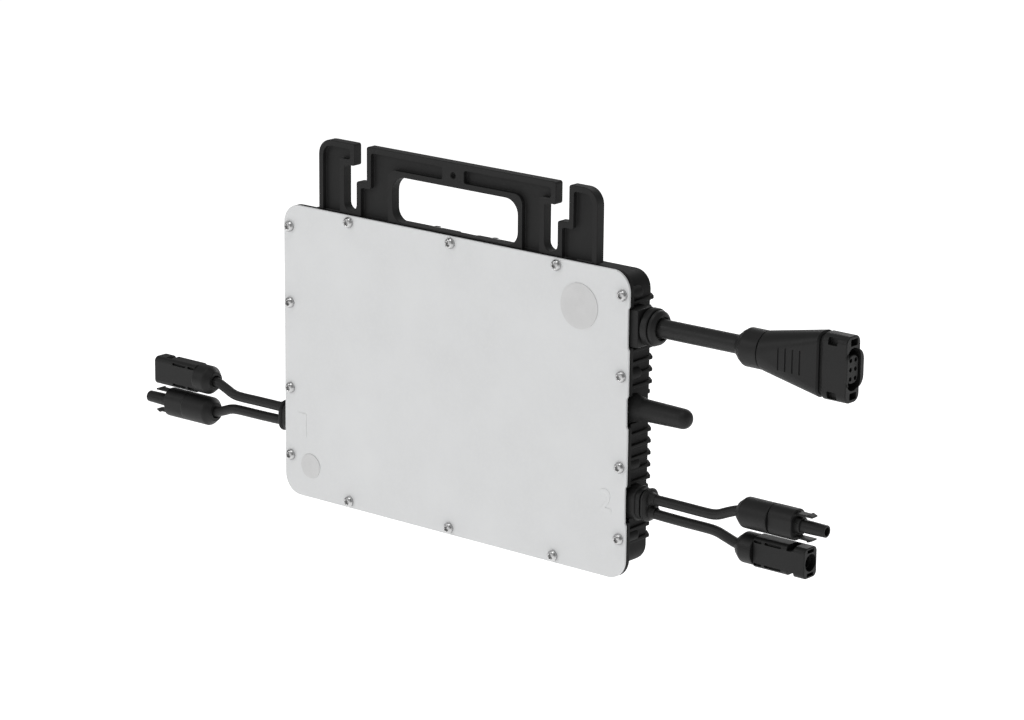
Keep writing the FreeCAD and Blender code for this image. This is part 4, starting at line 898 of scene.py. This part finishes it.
def female_parts(side, x, z, turn):
    """A PV socket: a flat-sided body with latch channels and slots, and the contact tube."""
    shell = stepped(eased(15.3, 50.0, 6.1, 8.8, 3.0, 0.7))
    tail = lathe([(8, 3.25), (20, 3.25), (20, 5.7), (8, 5.7)], 48)
    tools = [lathe([(30.4, 0), (52, 0), (52, 4.0), (30.4, 4.0)], 48),
             lathe([(46.3, 0), (53, 0), (53, 5.0), (46.3, 5.0)], 56),
             lathe([(14, 0), (31, 0), (31, 2.4), (14, 2.4)], 32),
             lathe([(14, 0), (19, 0), (19, 5.75), (14, 5.75)], 32)]
    for sign in (-1, 1):
        for outline, reach in ((rectangle(38.0, 52, -3.1, 3.1, 0), 7.7),
                               (rectangle(38.0, 42.8, -9, 3.1, 0.5), 12)):
            floor, top = sorted((sign * 5.7, sign * reach))
            tools.append(slab(outline, [], "XY", floor, top, 0.0))
        for low, high in ((15.9, 21.4), (23.2, 34.4)):
            for face in (-1, 1):
                outline = rectangle(low, high, sign * 6.5 - 0.75, sign * 6.5 + 0.75, 0.6)
                near, far = sorted((face * 4.6, face * 9.0))
                tools.append(slab(outline, [], "XZ", near, far, 0.0))
    body = combined(shell, tools)
    piece(side + "_female_shell", moved(joined([body, tail]), x, DC_Y, z, turn),
          "connector_plastic", [side + "_female_body"], bevel=0.15, sharp=35)
    contact = [(18.4, 0), (24, 0), (24, 1.2), (30, 1.2), (30, 1.9, 0.2), (18.4, 1.9)]
    piece(side + "_female_contact_tube", moved(lathe(contact, 32), x, DC_Y, z, turn),
          "contact_metal", [side + "_female_contact"])


def latch_part(side, place, x, z, turn):
    """One snap arm; it rides on its own body."""
    sign = 1 if place == "upper" else -1
    corners = [(0, -0.6), (10.4, -0.6, 0.3), (10.4, 0.3, 0.4), (7.6, 1.4, 0.4), (6.8, 0.6, 0.3),
               (0, 0.6)]
    outline = [Vector((p.x, p.y * sign)) for p in rounded(corners, 3)]
    bm = slab(outline, [], "XZ", -2.6, 2.6, 0.2)
    root = x + (41.6 if turn == 0 else -41.6)
    name = "%s_%s_latch" % (side, place)
    piece("%s_%s_snap_arm" % (side, place), moved(bm, root, DC_Y, z + sign * 6.7, turn),
          "connector_plastic", [name], body=name)


def pv_connectors():
    """Both pairs of PV connectors, with the plugs' snap arms."""
    for side, kind, x, z, turn in CONNECTORS:
        connector_nut(side, kind, x, z, turn)
        if kind == "male":
            male_parts(side, x, z, turn)
            for place in ("upper", "lower"):
                latch_part(side, place, x, z, turn)
        else:
            female_parts(side, x, z, turn)


# ---------------------------------------------------------------- the rest of the CAD

def paint_cad_nodes():
    """Every CAD node gets its slot's material, which shows on the ones nothing replaces."""
    for row in frame["record"]["subparts"]:
        item = frame["nodes"][row["node"]]
        for index in range(max(len(item.material_slots), 1)):
            if item.material_slots:
                item.material_slots[index].link = "OBJECT"
                item.material_slots[index].material = MATERIALS[row["material_slot"]]


def declare_cords():
    """The grid cable and the four PV leads. The pieces of the connector on each lead's end are
    listed, but the list is not used.
    """
    cord("ac_cable", 10.8, ROUTES["ac_cable"], AC_Y)
    for side, sign in (("right", 1), ("left", -1)):
        upper, lower = ("male", "female") if side == "right" else ("female", "male")
        for place, kind in (("upper", upper), ("lower", lower)):
            pieces = ["%s_%s_cap" % (side, kind), "%s_%s_shell" % (side, kind)]
            if kind == "male":
                pieces += [side + "_male_contact_pin", side + "_upper_snap_arm",
                           side + "_lower_snap_arm"]
            else:
                pieces.append(side + "_female_contact_tube")
            node = "%s_%s_lead" % (side, place)
            cord(node, 6.0, ROUTES[node], DC_Y)


# ---------------------------------------------------------------- stage and light

def floor_and_light():
    """A pale floor, an even sky and four soft lamps."""
    g = Graph("studio_floor")
    place = g.add("TexCoord").outputs["Object"]
    cloud = g.add("TexNoise", {"Vector": place, "Scale": 1.3, "Detail": 2.0}).outputs["Fac"]
    colour = g.blend(g.span(cloud, 0.0, 1.0), grey(0.92), grey(0.94))
    shader = g.add("BsdfPrincipled", {
        "Base Color": colour, "Roughness": 0.9, "Specular IOR Level": 0.1,
        "Emission Color": (1, 1, 1, 1), "Emission Strength": 0.75})
    g.add("OutputMaterial", {"Surface": shader.outputs[0]})
    bm = bmesh.new()
    bmesh.ops.create_grid(bm, x_segments=1, y_segments=1, size=30.0)
    mesh = bpy.data.meshes.new("studio_floor")
    bm.to_mesh(mesh)
    bm.free()
    mesh.materials.append(g.material)
    floor = bpy.data.objects.new("studio_floor", mesh)
    floor.location = (0, 0, -0.62)
    bpy.context.scene.collection.objects.link(floor)

    world = bpy.data.worlds.new("studio")
    world.use_nodes = True
    background = world.node_tree.nodes["Background"]
    background.inputs["Color"].default_value = (1.0, 1.0, 1.0, 1.0)
    background.inputs["Strength"].default_value = 0.3
    bpy.context.scene.world = world
    bpy.context.scene.view_settings.view_transform = "Standard"
    for name, place, aim, size, power in (
            ("key_light", (-1.5, -1.95, 1.25), (0, 0, -0.1), 0.8, 12.0),
            ("front_light", (0.35, -2.4, 0.4), (0, 0, -0.1), 1.0, 3.2),
            ("top_light", (0.1, -0.5, 2.4), (0, 0, 0), 1.4, 15.0),
            ("back_light", (-0.7, 2.3, 0.8), (0, 0, -0.1), 1.2, 13.0)):
        lamp = bpy.data.lights.new(name, "AREA")
        lamp.shape = "DISK"
        lamp.size = size
        lamp.energy = power
        item = bpy.data.objects.new(name, lamp)
        item.location = place
        item.visible_camera = False
        item.rotation_euler = (Vector(aim) - Vector(place)).to_track_quat("-Z", "Y").to_euler()
        bpy.context.scene.collection.objects.link(item)


def main():
    """Every visible piece, then the cords, the floor and the light."""
    cover_parts()
    screws()
    input_number("1", -120.7, -113.2, 37.6, 52.0)
    input_number("2", 111.6, 120.2, 38.4, 52.0)
    housing_parts()
    bracket_parts()
    ac_gland_parts()
    dc_gland_part("left")
    dc_gland_part("right")
    antenna_part()
    plug_nut()
    plug_body()
    plug_head()
    plug_insert()
    pv_connectors()
    paint_cad_nodes()
    declare_cords()
    floor_and_light()


main()
